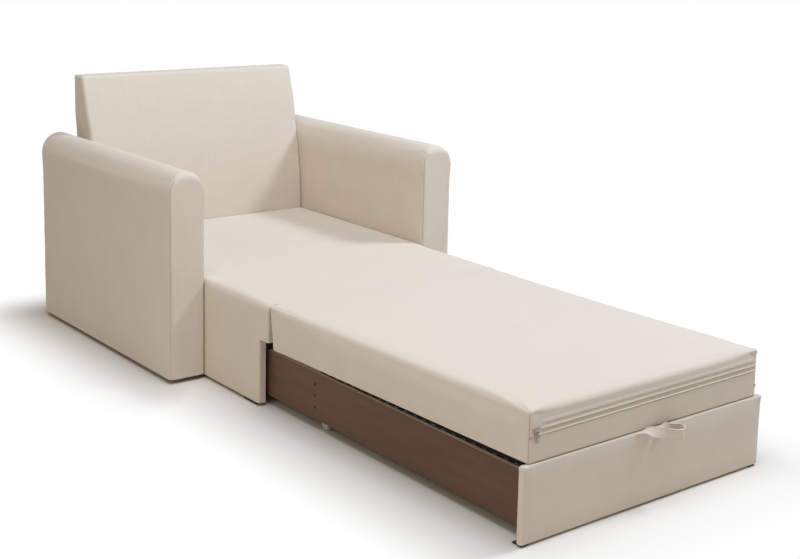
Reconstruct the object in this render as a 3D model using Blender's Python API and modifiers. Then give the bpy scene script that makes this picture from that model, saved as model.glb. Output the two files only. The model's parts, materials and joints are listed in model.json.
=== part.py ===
"""Upholstered single chair bed, pulled out.

A boxy armchair on a fixed base: two arms with half round tops, a wedge backrest and a low seat. A drawer on
two rollers runs out from under the seat and carries the foot end of a loose mattress, which is hinged along
the seat's front top edge and folds over onto the seat. All lengths are metres. X runs across the chair, Y
from the bed's foot end to the backrest and Z up; sizes are counted from the plane of the arm fronts.
"""

import math

import bmesh
import bpy
from mathutils import Matrix, Vector

# Overall and cloth
OVERALL_WIDTH = 1.000
SKIN = 0.0020
FIT = 0.0003
SOFT_FIT = 0.0006

# Arms
ARM_WIDTH = 0.110
ARM_DEPTH = 0.852
ARM_HEIGHT = 0.599
ARM_LIFT = 0.013
ARM_EDGE = 0.008
ARM_PADDING = 0.010
ARM_PANEL_T = 0.015
ARM_FRAME_MEMBER = 0.045
ARM_FRAME_BAYS = 4
ARM_FRAME_ROWS = 2
ARM_FOOT_RADIUS = 0.020
ARM_FOOT_INSET = 0.070
ARCH_STEPS = 3

# Seat and base
SEAT_TOP = 0.2916
SEAT_CROWN = 0.0030
SEAT_EDGE = 0.014
SEAT_REACH = 0.3268
SEAT_UNDERSIDE = 0.1858
SEAT_BACK_GAP = 0.0010
SIDE_GAP = 0.0005
SIDE_SETBACK = 0.0402
SIDE_LIFT = 0.0086
SIDE_EDGE = 0.005
SIDE_BOARD_T = 0.018
RAIL_HEIGHT = 0.028
RAIL_WIDTH = 0.040
DECK_T = 0.009
SEAT_FOOT_LENGTH = 0.062
SEAT_FOOT_INSET = 0.019
GUIDE_HEIGHT = 0.030
GUIDE_LENGTH = 0.700
GUIDE_RISE = 0.045
GUIDE_SETBACK = 0.012

# Backrest
BACK_LINE = 0.683
BACK_REAR = 0.834
BACK_TOP = 0.784
BACK_LEAN = 0.096
BACK_LEAN_POWER = 1.75
BACK_CROWN = 0.005
BACK_EDGE = 0.010
BACK_POST_WIDTH = 0.045
BACK_POST_DEPTH = 0.028
BACK_PANEL_T = 0.004
BACK_RAIL_HEIGHT = 0.060
REAR_PANEL_T = 0.012
REAR_RAIL_DEPTH = 0.030

# Mattress
MATTRESS_SIDE_GAP = 0.015
MATTRESS_BACK_GAP = 0.0260
MATTRESS_T = 0.1165
MATTRESS_FULLNESS = 0.0090
MATTRESS_CROWN = 0.0020
MATTRESS_EDGE = 0.009
HINGE_RISE = 0.0012
HINGE_GAP = 0.0008
HINGE_TAPE_T = 0.0010
HINGE_TAPE_WIDTH = 0.030
HINGE_TAPE_MARGIN = 0.020
TOP_DROP = 0.0006

# Zip in the mattress end
ZIP_END_MARGIN = 0.0100
ZIP_DEPTH_BELOW_TOP = 0.050
ZIP_SLOPE = math.radians(0.4)
ZIP_TEETH = 0.0036
ZIP_PROUD = 0.0012
ZIP_TAPE_WIDTH = 0.016
ZIP_TAPE_T = 0.0008
ZIP_SLIT_GAP = 0.0004
SLIDER_LENGTH = 0.011
SLIDER_HEIGHT = 0.0100
SLIDER_T = 0.0032
SLIDER_EAR = 0.0030
PULL_LENGTH = 0.022
PULL_WIDTH = 0.0070
PULL_T = 0.0014
PULL_EYE = 0.0026

# Drawer
PANEL_SIDE_LAP = 0.002
PANEL_T = 0.017
PANEL_LIFT = 0.004
PANEL_PROUD = 0.0053
PANEL_EDGE = 0.004
PANEL_RETURN = 0.012
DRAWER_SIDE_OFFSET = 0.0315
DRAWER_SIDE_T = 0.015
DRAWER_SIDE_LIFT = 0.027
DRAWER_SIDE_HEIGHT = 0.125
DRAWER_STOP_GAP = 0.001
DRAWER_TAIL = 0.070
DRAWER_RUN_GAP = 0.0005
DRAWER_RAIL_T = 0.018
DRAWER_RAIL_HEIGHT = 0.090
DRAWER_RAIL_RISE = 0.018
DRAWER_RAIL_PLACE = 0.796
LEDGE_WIDTH = 0.030
LEDGE_HEIGHT = 0.030
SLAT_COUNT = 4
SLAT_WIDTH = 0.068
SLAT_T = 0.012
CLOTH_T = 0.0012
CLOTH_MARGIN = 0.0075
GLIDE_LENGTH = 0.030
GLIDE_WIDTH = 0.024
GLIDE_INSET = 0.005

# Rollers
WHEEL_RADIUS = 0.017
WHEEL_WIDTH = 0.011
WHEEL_TREAD = 0.003
WHEEL_BORE = 0.0033
WHEEL_AHEAD = 0.0235
WHEEL_SIDES = 24
AXLE_RADIUS = 0.0030
AXLE_SIDES = 16
BRACKET_T = 0.002
BRACKET_WIDTH = 0.026
BRACKET_HEIGHT = 0.052
BRACKET_FOOT = 0.010
BRACKET_WASHER = 0.0055
BRACKET_WASHER_T = 0.0015

# Pull strap
STRAP_WIDTH = 0.028
STRAP_T = 0.0022
STRAP_REACH = 0.031
STRAP_LENGTH = 0.108
STRAP_LEG_GAP = 0.054
STRAP_TURN = 0.0065
STRAP_DROP = 0.0056

# Sizes that follow from the ones above
SEAT_WIDTH = OVERALL_WIDTH - 2 * (ARM_WIDTH + SIDE_GAP)
SEAT_HALF = SEAT_WIDTH / 2
SEAT_FRONT = -SEAT_REACH
SEAT_REAR = BACK_LINE - SEAT_BACK_GAP
SIDE_FRONT = SEAT_FRONT + SIDE_SETBACK
DECK_LOW = SEAT_UNDERSIDE + SKIN + FIT
DECK_TOP = DECK_LOW + DECK_T
BASE_TOP = DECK_LOW - FIT
BASE_REAR = BACK_REAR - REAR_PANEL_T - SKIN
BOARD_OUT = SEAT_HALF - SKIN - FIT
BOARD_IN = BOARD_OUT - SIDE_BOARD_T
MATTRESS_WIDTH = SEAT_WIDTH - 2 * MATTRESS_SIDE_GAP
MATTRESS_LENGTH = SEAT_REACH + BACK_LINE - MATTRESS_BACK_GAP
HINGE_Y = SEAT_FRONT - HINGE_GAP
HINGE_Z = SEAT_TOP + HINGE_RISE
MATTRESS_END = HINGE_GAP + MATTRESS_LENGTH
ZIP_LENGTH = MATTRESS_WIDTH - 2 * ZIP_END_MARGIN
PANEL_FRONT = HINGE_Y - MATTRESS_END - PANEL_PROUD
PANEL_BACK = PANEL_FRONT + PANEL_T
PANEL_TOP = HINGE_Z - TOP_DROP - MATTRESS_T - FIT
PANEL_HALF = SEAT_HALF + PANEL_SIDE_LAP
DRAWER_TRAVEL = SIDE_FRONT - PANEL_BACK - DRAWER_STOP_GAP
DRAWER_HALF = SEAT_HALF - DRAWER_SIDE_OFFSET
DRAWER_LENGTH = SIDE_FRONT - PANEL_BACK + DRAWER_TAIL
DRAWER_INSIDE = DRAWER_HALF - DRAWER_SIDE_T
DRAWER_TOP = DRAWER_SIDE_LIFT + DRAWER_SIDE_HEIGHT

# Looks: base colour, roughness and metallic value
LOOKS = {
    "linen": ((0.62, 0.54, 0.44), 0.92, 0.0),
    "foam": ((0.78, 0.70, 0.45), 0.95, 0.0),
    "timber": ((0.52, 0.36, 0.20), 0.75, 0.0),
    "chipboard": ((0.45, 0.32, 0.19), 0.80, 0.0),
    "fibreboard": ((0.090, 0.048, 0.030), 0.65, 0.0),
    "black_cloth": ((0.012, 0.012, 0.014), 0.90, 0.0),
    "black_plastic": ((0.015, 0.015, 0.015), 0.45, 0.0),
    "grey_plastic": ((0.35, 0.35, 0.34), 0.40, 0.0),
    "zinc": ((0.55, 0.55, 0.56), 0.35, 1.0),
    "zip_tape": ((0.50, 0.43, 0.34), 0.80, 0.0),
}

X_AXIS, Y_AXIS, Z_AXIS = range(3)
SIDES = (("left", -1), ("right", 1))


# Scene and object helpers
def clear_scene():
    """Remove every object that the file opens with."""
    for item in list(bpy.data.objects):
        bpy.data.objects.remove(item, do_unlink=True)


def make_collection(name):
    """Add a collection of this name to the scene."""
    group = bpy.data.collections.new(name)
    bpy.context.scene.collection.children.link(group)
    return group


def make_looks():
    """Build one Principled material for each entry of LOOKS."""
    made = {}
    for name, (colour, roughness, metallic) in LOOKS.items():
        material = bpy.data.materials.new(name)
        material.use_nodes = True
        shader = material.node_tree.nodes["Principled BSDF"]
        shader.inputs["Base Color"].default_value = (*colour, 1.0)
        shader.inputs["Roughness"].default_value = roughness
        shader.inputs["Metallic"].default_value = metallic
        material.diffuse_color = (*colour, 1.0)
        made[name] = material
    return made


class Shop:
    """Holds the collections and materials that every piece is made with."""

    def __init__(self):
        self.parts = make_collection("chair_bed")
        self.cutters = make_collection("chair_bed_cutters")
        self.looks = make_looks()

    def empty(self, name, place, parent=None, turn=(0.0, 0.0, 0.0)):
        """Add an empty that carries a moving group."""
        item = bpy.data.objects.new(name, None)
        item.location = place
        item.rotation_euler = turn
        item.parent = parent
        item.empty_display_size = 0.05
        self.parts.objects.link(item)
        return item

    def piece(self, name, bm, look, parent, place=(0.0, 0.0, 0.0)):
        """Turn a bmesh, drawn around its own origin, into a named piece at a place."""
        mesh = bpy.data.meshes.new(name)
        bmesh.ops.recalc_face_normals(bm, faces=bm.faces[:])
        bm.to_mesh(mesh)
        bm.free()
        mesh.materials.append(self.looks[look])
        mesh.shade_smooth()
        mesh.set_sharp_from_angle(angle=math.radians(35))
        item = bpy.data.objects.new(name, mesh)
        item.location = place
        item.parent = parent
        self.parts.objects.link(item)
        return item

    def block(self, name, low, high, look, parent, edge=0.0):
        """Add a plain board or timber between two corners, its origin at its centre."""
        low, high = Vector(low), Vector(high)
        bm = box_form(high - low)
        if edge > 0:
            bmesh.ops.bevel(bm, geom=bm.edges[:], offset=edge, segments=1, affect="EDGES", profile=0.5)
        return self.piece(name, bm, look, parent, (low + high) / 2)

    def cut_away(self, target, bm, place=(0.0, 0.0, 0.0), turn=(0.0, 0.0, 0.0), operation="DIFFERENCE"):
        """Cut a form out of a piece, or weld it on, with a cutter placed in the piece's parent frame."""
        cutter = self.piece(target.name + "_cutter", bm, "timber", target.parent, place)
        cutter.rotation_euler = turn
        self.parts.objects.unlink(cutter)
        self.cutters.objects.link(cutter)
        cutter.hide_render = True
        cutter.display_type = "WIRE"
        change = target.modifiers.new(operation.lower(), "BOOLEAN")
        change.operation = operation
        change.solver = "EXACT"
        change.object = cutter

    def thicken(self, item, depth=SKIN):
        """Give an open skin its thickness, inwards from the drawn surface."""
        shell = item.modifiers.new("cloth", "SOLIDIFY")
        shell.thickness = depth
        shell.offset = -1.0
        shell.use_even_offset = True
        shell.use_quality_normals = True
        return shell


# Form helpers
def box_form(size, centre=(0.0, 0.0, 0.0)):
    """A box of this size as a bmesh."""
    bm = bmesh.new()
    add_box(bm, size, centre)
    return bm


def add_box(bm, size, centre):
    """Add one more box to a bmesh."""
    matrix = Matrix.Translation(centre) @ Matrix.Diagonal((size[0], size[1], size[2], 1.0))
    bmesh.ops.create_cube(bm, size=1.0, matrix=matrix)


def cut(bm, axis, at):
    """Add an edge loop where a plane square to an axis crosses the form."""
    normal = Vector((0.0, 0.0, 0.0))
    normal[axis] = 1.0
    everything = bm.verts[:] + bm.edges[:] + bm.faces[:]
    bmesh.ops.bisect_plane(bm, geom=everything, dist=1e-6, plane_co=normal * at, plane_no=normal)


def evenly(low, high, count):
    """Inner marks that divide a stretch into a number of equal cells."""
    return [low + (high - low) * step / count for step in range(1, count)]


def drop_faces(bm, unwanted):
    """Delete the faces that a test picks."""
    doomed = [face for face in bm.faces if unwanted(face)]
    bmesh.ops.delete(bm, geom=doomed, context="FACES")


def round_edges(bm, radius, segments, wanted):
    """Round the sharp edges that a test on their middle and faces picks."""
    bm.normal_update()
    picked = []
    for edge in bm.edges:
        if len(edge.link_faces) != 2 or edge.calc_face_angle(0.0) < math.radians(40):
            continue
        if wanted((edge.verts[0].co + edge.verts[1].co) / 2):
            picked.append(edge)
    bmesh.ops.bevel(bm, geom=picked, offset=radius, segments=segments, affect="EDGES", profile=0.5,
                    clamp_overlap=True)


def arch_form(width, depth, height, edge, open_base):
    """An upright block with a half round top, standing on the origin, its end edges rounded."""
    bm = box_form((width, depth, height), (0.0, 0.0, height / 2))
    radius = width / 2
    spring = height - radius
    cut(bm, X_AXIS, 0.0)
    cut(bm, Z_AXIS, spring)
    for step in range(1, ARCH_STEPS):
        reach = radius * math.tan(math.radians(45) * step / ARCH_STEPS)
        cut(bm, X_AXIS, reach)
        cut(bm, X_AXIS, -reach)
        cut(bm, Z_AXIS, spring + reach)
    for vert in bm.verts:
        offset = Vector((vert.co.x, 0.0, vert.co.z - spring))
        if offset.z > 1e-6:
            square = max(abs(offset.x), offset.z)
            offset *= square / offset.length
            vert.co.x = offset.x
            vert.co.z = spring + offset.z
    if open_base:
        drop_faces(bm, lambda face: face.calc_center_median().z < 1e-6)
    round_edges(bm, edge, 2, lambda mid: abs(abs(mid.y) - depth / 2) < 1e-6 and mid.z > 1e-6)
    return bm


def cushion_form(size, edge, crown, cells, extra=(), fullness=0.0):
    """A box cushion on the origin: rounded edges, a crowned top and a front end that is fuller."""
    flat = Vector((size[0], size[1], size[2] - crown))
    half = flat / 2
    bm = box_form(flat)
    quarter = edge * math.tan(math.radians(22.5))
    for axis in (X_AXIS, Y_AXIS, Z_AXIS):
        core = half[axis] - edge
        marks = [core, core + quarter] + [mark for mark in evenly(-core, core, cells[axis]) if mark > 1e-6]
        for mark in marks:
            cut(bm, axis, mark)
            cut(bm, axis, -mark)
        if cells[axis] % 2 == 0:
            cut(bm, axis, 0.0)
    for axis, mark in extra:
        cut(bm, axis, mark)
    for vert in bm.verts:
        core = Vector([max(edge - half[i], min(half[i] - edge, vert.co[i])) for i in range(3)])
        offset = vert.co - core
        if offset.length > 1e-9:
            reach = max(abs(value) for value in offset)
            vert.co = core + offset.normalized() * reach
        swell = (1 - (vert.co.x / half.x) ** 2) * (1 - (vert.co.y / half.y) ** 2)
        vert.co.z += crown * swell * max(0.0, vert.co.z / half.z)
        toward_front = 0.5 - vert.co.y / size[1]
        vert.co.z = (vert.co.z + half.z) * (1 + fullness * toward_front / flat.z)
    return bm


def back_front(height):
    """Distance of the backrest's front face behind the arm fronts at a height."""
    share = max(0.0, (height - SEAT_TOP) / (BACK_TOP - SEAT_TOP))
    return BACK_LINE + BACK_LEAN * share ** BACK_LEAN_POWER


def wedge_form(half, low, high, rear, inset, crown, open_base):
    """The backrest's wedge: upright behind, leaning and slightly crowned in front."""
    bm = box_form((2 * half, 1.0, high - low), (0.0, 0.5, (low + high) / 2))
    for mark in evenly(-half, half, 4):
        cut(bm, X_AXIS, mark)
    cut(bm, Z_AXIS, SEAT_TOP)
    for mark in evenly(SEAT_TOP, high, 5):
        cut(bm, Z_AXIS, mark)
    for vert in bm.verts:
        front = back_front(vert.co.z + inset) + inset
        rise = max(0.0, (vert.co.z - SEAT_TOP) / (high - SEAT_TOP))
        front -= crown * (1 - (vert.co.x / half) ** 2) * 4 * rise * (1 - rise)
        vert.co.y = front + vert.co.y * (rear - front)
    if open_base:
        drop_faces(bm, lambda face: face.calc_center_median().z < low + 1e-6)
    round_edges(bm, BACK_EDGE, 3, lambda mid: mid.z > low + 1e-6)
    return bm


def rod_form(radius, length, sides):
    """A round bar along X from the origin."""
    bm = bmesh.new()
    matrix = Matrix.Translation((length / 2, 0.0, 0.0)) @ Matrix.Rotation(math.radians(90), 4, "Y")
    bmesh.ops.create_cone(bm, cap_ends=True, segments=sides, radius1=radius, radius2=radius, depth=length,
                          matrix=matrix)
    return bm


# Arms
def add_arm(shop, root, side, sign):
    """One arm: padded frame on two feet, its skin open underneath."""
    centre = sign * (OVERALL_WIDTH - ARM_WIDTH) / 2
    middle = ARM_DEPTH / 2
    name = f"arm_{side}"
    inset = SKIN + FIT
    cover = arch_form(ARM_WIDTH, ARM_DEPTH, ARM_HEIGHT - ARM_LIFT, ARM_EDGE, True)
    shop.thicken(shop.piece(f"{name}_cover", cover, "linen", root, (centre, middle, ARM_LIFT)))

    pad_width = ARM_WIDTH - 2 * inset
    pad_depth = ARM_DEPTH - 2 * inset
    pad_height = ARM_HEIGHT - ARM_LIFT - inset
    pad = arch_form(pad_width, pad_depth, pad_height, ARM_EDGE, False)
    pad = shop.piece(f"{name}_foam", pad, "foam", root, (centre, middle, ARM_LIFT))
    core_width = pad_width - 2 * ARM_PADDING
    core_depth = pad_depth - 2 * ARM_PADDING
    core_top = ARM_HEIGHT - ARM_WIDTH / 2
    core_height = core_top - ARM_LIFT
    pocket = box_form((core_width, core_depth, 2 * core_height))
    shop.cut_away(pad, pocket, (centre, middle, ARM_LIFT))

    inner = centre - sign * (core_width / 2 - FIT)
    panel_far = inner + sign * ARM_PANEL_T
    frame_near = panel_far + sign * FIT
    frame_far = centre + sign * (core_width / 2 - FIT)
    front, rear = middle - core_depth / 2 + FIT, middle + core_depth / 2 - FIT
    low, high = ARM_LIFT, core_top - FIT
    shop.block(f"{name}_inner_panel", (min(inner, panel_far), front, low),
               (max(inner, panel_far), rear, high), "chipboard", root)
    frame = shop.block(f"{name}_frame", (min(frame_near, frame_far), front, low),
                       (max(frame_near, frame_far), rear, high), "timber", root)
    windows = bmesh.new()
    bay = (rear - front - ARM_FRAME_MEMBER) / ARM_FRAME_BAYS
    row = (high - low - ARM_FRAME_MEMBER) / ARM_FRAME_ROWS
    for column in range(ARM_FRAME_BAYS):
        for line in range(ARM_FRAME_ROWS):
            place = ((frame_near + frame_far) / 2, front + ARM_FRAME_MEMBER / 2 + bay * (column + 0.5),
                     low + ARM_FRAME_MEMBER / 2 + row * (line + 0.5))
            add_box(windows, (ARM_WIDTH, bay - ARM_FRAME_MEMBER, row - ARM_FRAME_MEMBER), place)
    shop.cut_away(frame, windows)

    foot_height = ARM_LIFT - FIT
    for end, place in (("front", ARM_FOOT_INSET), ("rear", ARM_DEPTH - ARM_FOOT_INSET)):
        bm = bmesh.new()
        bmesh.ops.create_cone(bm, cap_ends=True, segments=20, radius1=ARM_FOOT_RADIUS * 0.9,
                              radius2=ARM_FOOT_RADIUS, depth=foot_height)
        shop.piece(f"{name}_foot_{end}", bm, "black_plastic", root,
                   ((frame_near + frame_far) / 2, place, foot_height / 2))


# Seat and base
def seat_cover_form():
    """Skin of the seat: crowned top, front overhang and side skirts that reach down over the base boards."""
    top = SEAT_TOP - SEAT_CROWN
    bm = box_form((SEAT_WIDTH, SEAT_REAR - SEAT_FRONT, top - SEAT_UNDERSIDE),
                  (0.0, (SEAT_FRONT + SEAT_REAR) / 2, (top + SEAT_UNDERSIDE) / 2))
    skirt = SEAT_HALF - (SKIN + FIT + SIDE_BOARD_T + FIT)
    hem = DECK_TOP
    cut(bm, Y_AXIS, SIDE_FRONT)
    cut(bm, X_AXIS, skirt)
    cut(bm, X_AXIS, -skirt)
    cut(bm, Z_AXIS, hem)
    for mark in evenly(-skirt, skirt, 4):
        cut(bm, X_AXIS, mark)
    for mark in evenly(SIDE_FRONT, SEAT_REAR, 5):
        cut(bm, Y_AXIS, mark)

    def under_base(face):
        mid = face.calc_center_median()
        return mid.z < SEAT_UNDERSIDE + 1e-6 and mid.y > SIDE_FRONT

    strips = [face for face in bm.faces if under_base(face) and abs(face.calc_center_median().x) > skirt]
    drawn = bmesh.ops.extrude_face_region(bm, geom=strips)
    moved = [item for item in drawn["geom"] if isinstance(item, bmesh.types.BMVert)]
    bmesh.ops.translate(bm, verts=moved, vec=(0.0, 0.0, SIDE_LIFT - SEAT_UNDERSIDE))

    def hidden(face):
        mid = face.calc_center_median()
        normal = face.normal
        below = mid.z < SEAT_UNDERSIDE - 1e-6
        base = mid.z < SIDE_LIFT + 1e-6 or under_base(face) and not below
        inner = below and abs(abs(mid.x) - skirt) < 1e-6
        behind = abs(normal.y) > 0.9 and mid.y > SEAT_REAR - 1e-6 and mid.z < hem
        return base or inner or behind

    bm.normal_update()
    drop_faces(bm, hidden)
    bmesh.ops.remove_doubles(bm, verts=bm.verts[:], dist=1e-6)
    loose = [edge for edge in bm.edges if not edge.link_faces]
    bmesh.ops.delete(bm, geom=loose, context="EDGES")
    for vert in bm.verts:
        if vert.co.z > top - 1e-6:
            along = (2 * vert.co.y - SEAT_FRONT - SEAT_REAR) / (SEAT_REAR - SEAT_FRONT)
            vert.co.z += SEAT_CROWN * (1 - (vert.co.x / SEAT_HALF) ** 2) * (1 - along ** 2)
    round_edges(bm, SEAT_EDGE, 3, lambda mid: mid.z > SEAT_UNDERSIDE + 1e-6 and mid.y < SEAT_REAR - 1e-6)
    return bm


def add_seat(shop, root):
    """Fixed base with its side boards, rails, deck, foam, cover, feet and drawer guides."""
    shop.thicken(shop.piece("seat_cover", seat_cover_form(), "linen", root))
    inset = SKIN + SOFT_FIT
    foam_low = Vector((-SEAT_HALF + inset, SEAT_FRONT + inset, DECK_TOP + FIT))
    foam_high = Vector((SEAT_HALF - inset, SEAT_REAR - inset, SEAT_TOP - SEAT_CROWN - inset))
    foam = box_form(foam_high - foam_low, (foam_low + foam_high) / 2)
    round_edges(foam, SEAT_EDGE, 3, lambda mid: mid.z > foam_low.z + 1e-6)
    shop.piece("seat_foam", foam, "foam", root)
    deck_front, deck_rear = SEAT_FRONT + SKIN + FIT, SEAT_REAR - SKIN - FIT
    deck = box_form((2 * BOARD_OUT, deck_rear - deck_front, DECK_T))
    front_edge = (deck_front - deck_rear) / 2
    round_edges(deck, SEAT_EDGE, 3, lambda mid: mid.y < front_edge + 1e-6 and abs(mid.z) < 1e-6)
    deck_place = (0.0, (deck_front + deck_rear) / 2, DECK_LOW + DECK_T / 2)
    shop.piece("seat_deck", deck, "chipboard", root, deck_place)

    board_front = SIDE_FRONT + SKIN + FIT
    rail_low = BASE_TOP - RAIL_HEIGHT
    for side, sign in SIDES:
        near, far = sorted((sign * BOARD_IN, sign * BOARD_OUT))
        shop.block(f"seat_side_{side}", (near, board_front, SIDE_LIFT), (far, BASE_REAR, BASE_TOP),
                   "chipboard", root)
        foot_front = SIDE_FRONT + SEAT_FOOT_INSET
        foot_rear = BASE_REAR - SEAT_FOOT_INSET - SEAT_FOOT_LENGTH
        for end, place in (("front", foot_front), ("rear", foot_rear)):
            shop.block(f"seat_foot_{end}_{side}", (near, place, 0.0),
                       (far, place + SEAT_FOOT_LENGTH, SIDE_LIFT - FIT), "black_plastic", root, 0.0015)
        guide_near, guide_far = sorted((sign * (DRAWER_HALF + DRAWER_RUN_GAP), sign * (BOARD_IN - FIT)))
        guide_front = board_front + GUIDE_SETBACK
        guide_low = DRAWER_SIDE_LIFT + GUIDE_RISE
        shop.block(f"drawer_guide_{side}", (guide_near, guide_front, guide_low),
                   (guide_far, guide_front + GUIDE_LENGTH, guide_low + GUIDE_HEIGHT), "black_plastic", root,
                   0.002)
    rail_half = BOARD_IN - FIT
    first, last = board_front, SEAT_REAR - SKIN - FIT - RAIL_WIDTH
    for name, share in (("front", 0.0), ("middle", 0.5), ("rear", 1.0)):
        place = first + (last - first) * share
        shop.block(f"seat_rail_{name}", (-rail_half, place, rail_low),
                   (rail_half, place + RAIL_WIDTH, BASE_TOP), "timber", root)
    shop.block("base_rear_rail", (-rail_half, BASE_REAR - REAR_RAIL_DEPTH, rail_low),
               (rail_half, BASE_REAR, BASE_TOP), "timber", root)
    shop.block("base_rear_panel", (-rail_half, BASE_REAR - REAR_PANEL_T, SIDE_LIFT),
               (rail_half, BASE_REAR, rail_low - FIT), "fibreboard", root)


# Backrest
def add_back(shop, root):
    """Backrest: two posts, top rail and back panel behind a foam wedge, all in one skin."""
    low = BASE_TOP + FIT
    cover = wedge_form(SEAT_HALF, low, BACK_TOP, BACK_REAR, 0.0, BACK_CROWN, True)
    shop.thicken(shop.piece("back_cover", cover, "linen", root))
    inset = SKIN + SOFT_FIT
    panel_rear = BACK_REAR - SKIN - FIT
    post_rear = panel_rear - BACK_PANEL_T - FIT
    post_front = post_rear - BACK_POST_DEPTH
    foam = wedge_form(SEAT_HALF - inset, low, BACK_TOP - inset, post_front - FIT, inset, BACK_CROWN, False)
    shop.piece("back_foam", foam, "foam", root)
    half = SEAT_HALF - BACK_EDGE - SKIN
    high = BACK_TOP - BACK_EDGE - SKIN
    shop.block("back_panel", (-half, post_rear + FIT, low), (half, panel_rear, high), "fibreboard", root)
    for side, sign in SIDES:
        near, far = sorted((sign * (half - BACK_POST_WIDTH), sign * half))
        shop.block(f"back_post_{side}", (near, post_front, low), (far, post_rear, high), "timber", root)
    rail_half = half - BACK_POST_WIDTH - FIT
    shop.block("back_top_rail", (-rail_half, post_front, high - BACK_RAIL_HEIGHT),
               (rail_half, post_rear, high), "timber", root)


# Drawer
def slat_places():
    """Middle of each drawer slat, counted from the back of the front panel."""
    first = SLAT_WIDTH
    last = DRAWER_RAIL_PLACE - DRAWER_RAIL_T / 2 - SLAT_WIDTH
    return [first + (last - first) * step / (SLAT_COUNT - 1) for step in range(SLAT_COUNT)]


def add_drawer_box(shop, drawer):
    """Side boards, rear rail, slatted platform and its stapled cloth. Y is 0 at the front panel's back."""
    rail_front = DRAWER_RAIL_PLACE - DRAWER_RAIL_T / 2
    rail_rear = DRAWER_RAIL_PLACE + DRAWER_RAIL_T / 2
    rail_low = DRAWER_SIDE_LIFT + DRAWER_RAIL_RISE
    for side, sign in SIDES:
        near, far = sorted((sign * DRAWER_INSIDE, sign * DRAWER_HALF))
        shop.block(f"drawer_side_{side}", (near, FIT, DRAWER_SIDE_LIFT), (far, DRAWER_LENGTH, DRAWER_TOP),
                   "fibreboard", drawer)
        near, far = sorted((sign * (DRAWER_INSIDE - FIT - LEDGE_WIDTH), sign * (DRAWER_INSIDE - FIT)))
        ledge = shop.block(f"drawer_ledge_{side}", (near, FIT, DRAWER_TOP - LEDGE_HEIGHT),
                           (far, rail_front - FIT, DRAWER_TOP), "timber", drawer)
        notches = bmesh.new()
        for place in slat_places():
            add_box(notches, (2 * LEDGE_WIDTH, SLAT_WIDTH + 2 * FIT, 2 * (SLAT_T + FIT)),
                    ((near + far) / 2, place, DRAWER_TOP))
        shop.cut_away(ledge, notches)
    slat_half = DRAWER_INSIDE - 2 * FIT
    for number, place in enumerate(slat_places(), start=1):
        shop.block(f"drawer_slat_{number}", (-slat_half, place - SLAT_WIDTH / 2, DRAWER_TOP - SLAT_T),
                   (slat_half, place + SLAT_WIDTH / 2, DRAWER_TOP), "timber", drawer)
    rail_half = DRAWER_INSIDE - FIT
    shop.block("drawer_rear_rail", (-rail_half, rail_front, rail_low),
               (rail_half, rail_rear, rail_low + DRAWER_RAIL_HEIGHT), "chipboard", drawer)
    cloth_half = DRAWER_HALF - CLOTH_MARGIN
    shop.block("drawer_cloth", (-cloth_half, FIT, DRAWER_TOP + FIT),
               (cloth_half, rail_front, DRAWER_TOP + FIT + CLOTH_T), "black_cloth", drawer)


def add_drawer_front(shop, drawer):
    """Upholstered front panel with its glides and pull strap."""
    front = -PANEL_T
    size = (2 * PANEL_HALF, PANEL_T, PANEL_TOP - PANEL_LIFT)
    returns = ((X_AXIS, PANEL_HALF - PANEL_RETURN), (X_AXIS, PANEL_RETURN - PANEL_HALF),
               (Z_AXIS, size[2] / 2 - PANEL_RETURN), (Z_AXIS, PANEL_RETURN - size[2] / 2))
    skin = cushion_form(size, PANEL_EDGE, 0.0, (4, 1, 2), returns)

    def inside_returns(face):
        mid = face.calc_center_median()
        on_back = mid.y > PANEL_T / 2 - 1e-5
        between = PANEL_RETURN < mid.z < size[2] - PANEL_RETURN
        return on_back and between and abs(mid.x) < PANEL_HALF - PANEL_RETURN

    drop_faces(skin, inside_returns)
    shop.thicken(shop.piece("drawer_front_cover", skin, "linen", drawer, (0.0, front / 2, PANEL_LIFT)))
    inset = SKIN + SOFT_FIT
    shop.block("drawer_front_board", (-PANEL_HALF + inset, front + inset, PANEL_LIFT + inset),
               (PANEL_HALF - inset, -inset, PANEL_TOP - inset), "chipboard", drawer, PANEL_EDGE)
    for side, sign in SIDES:
        outer = PANEL_HALF - GLIDE_INSET
        near, far = sorted((sign * (outer - GLIDE_WIDTH), sign * outer))
        shop.block(f"drawer_glide_{side}", (near, front + PANEL_EDGE, 0.0),
                   (far, front + PANEL_EDGE + GLIDE_LENGTH, PANEL_LIFT - FIT), "black_plastic", drawer,
                   0.0015)


def strap_route():
    """Route of the pull strap: place, and turn of the band about its run, flat at the two roots."""
    front = -PANEL_T - 2 * FIT
    root_z = PANEL_TOP - STRAP_DROP
    loop_z = PANEL_TOP - STRAP_DROP / 2 - STRAP_WIDTH / 2
    near_x, far_x = -STRAP_LEG_GAP * 0.6, STRAP_LEG_GAP * 0.4
    tip = near_x + STRAP_LENGTH
    outer, inner = front - STRAP_REACH, front - STRAP_REACH + 2 * STRAP_TURN
    flat = math.radians(90)
    return (
        ((near_x, front, root_z), flat),
        ((near_x, front - STRAP_REACH * 0.55, loop_z + STRAP_T), flat * 0.35),
        ((near_x + STRAP_LENGTH * 0.35, outer, loop_z), 0.0),
        ((tip - 2 * STRAP_TURN, outer, loop_z), 0.0),
        ((tip, outer + STRAP_TURN, loop_z), 0.0),
        ((tip - 2 * STRAP_TURN, inner, loop_z), 0.0),
        ((far_x, front - STRAP_REACH * 0.52, loop_z + STRAP_T), -flat * 0.35),
        ((far_x, front, root_z), -flat),
    )


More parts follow.
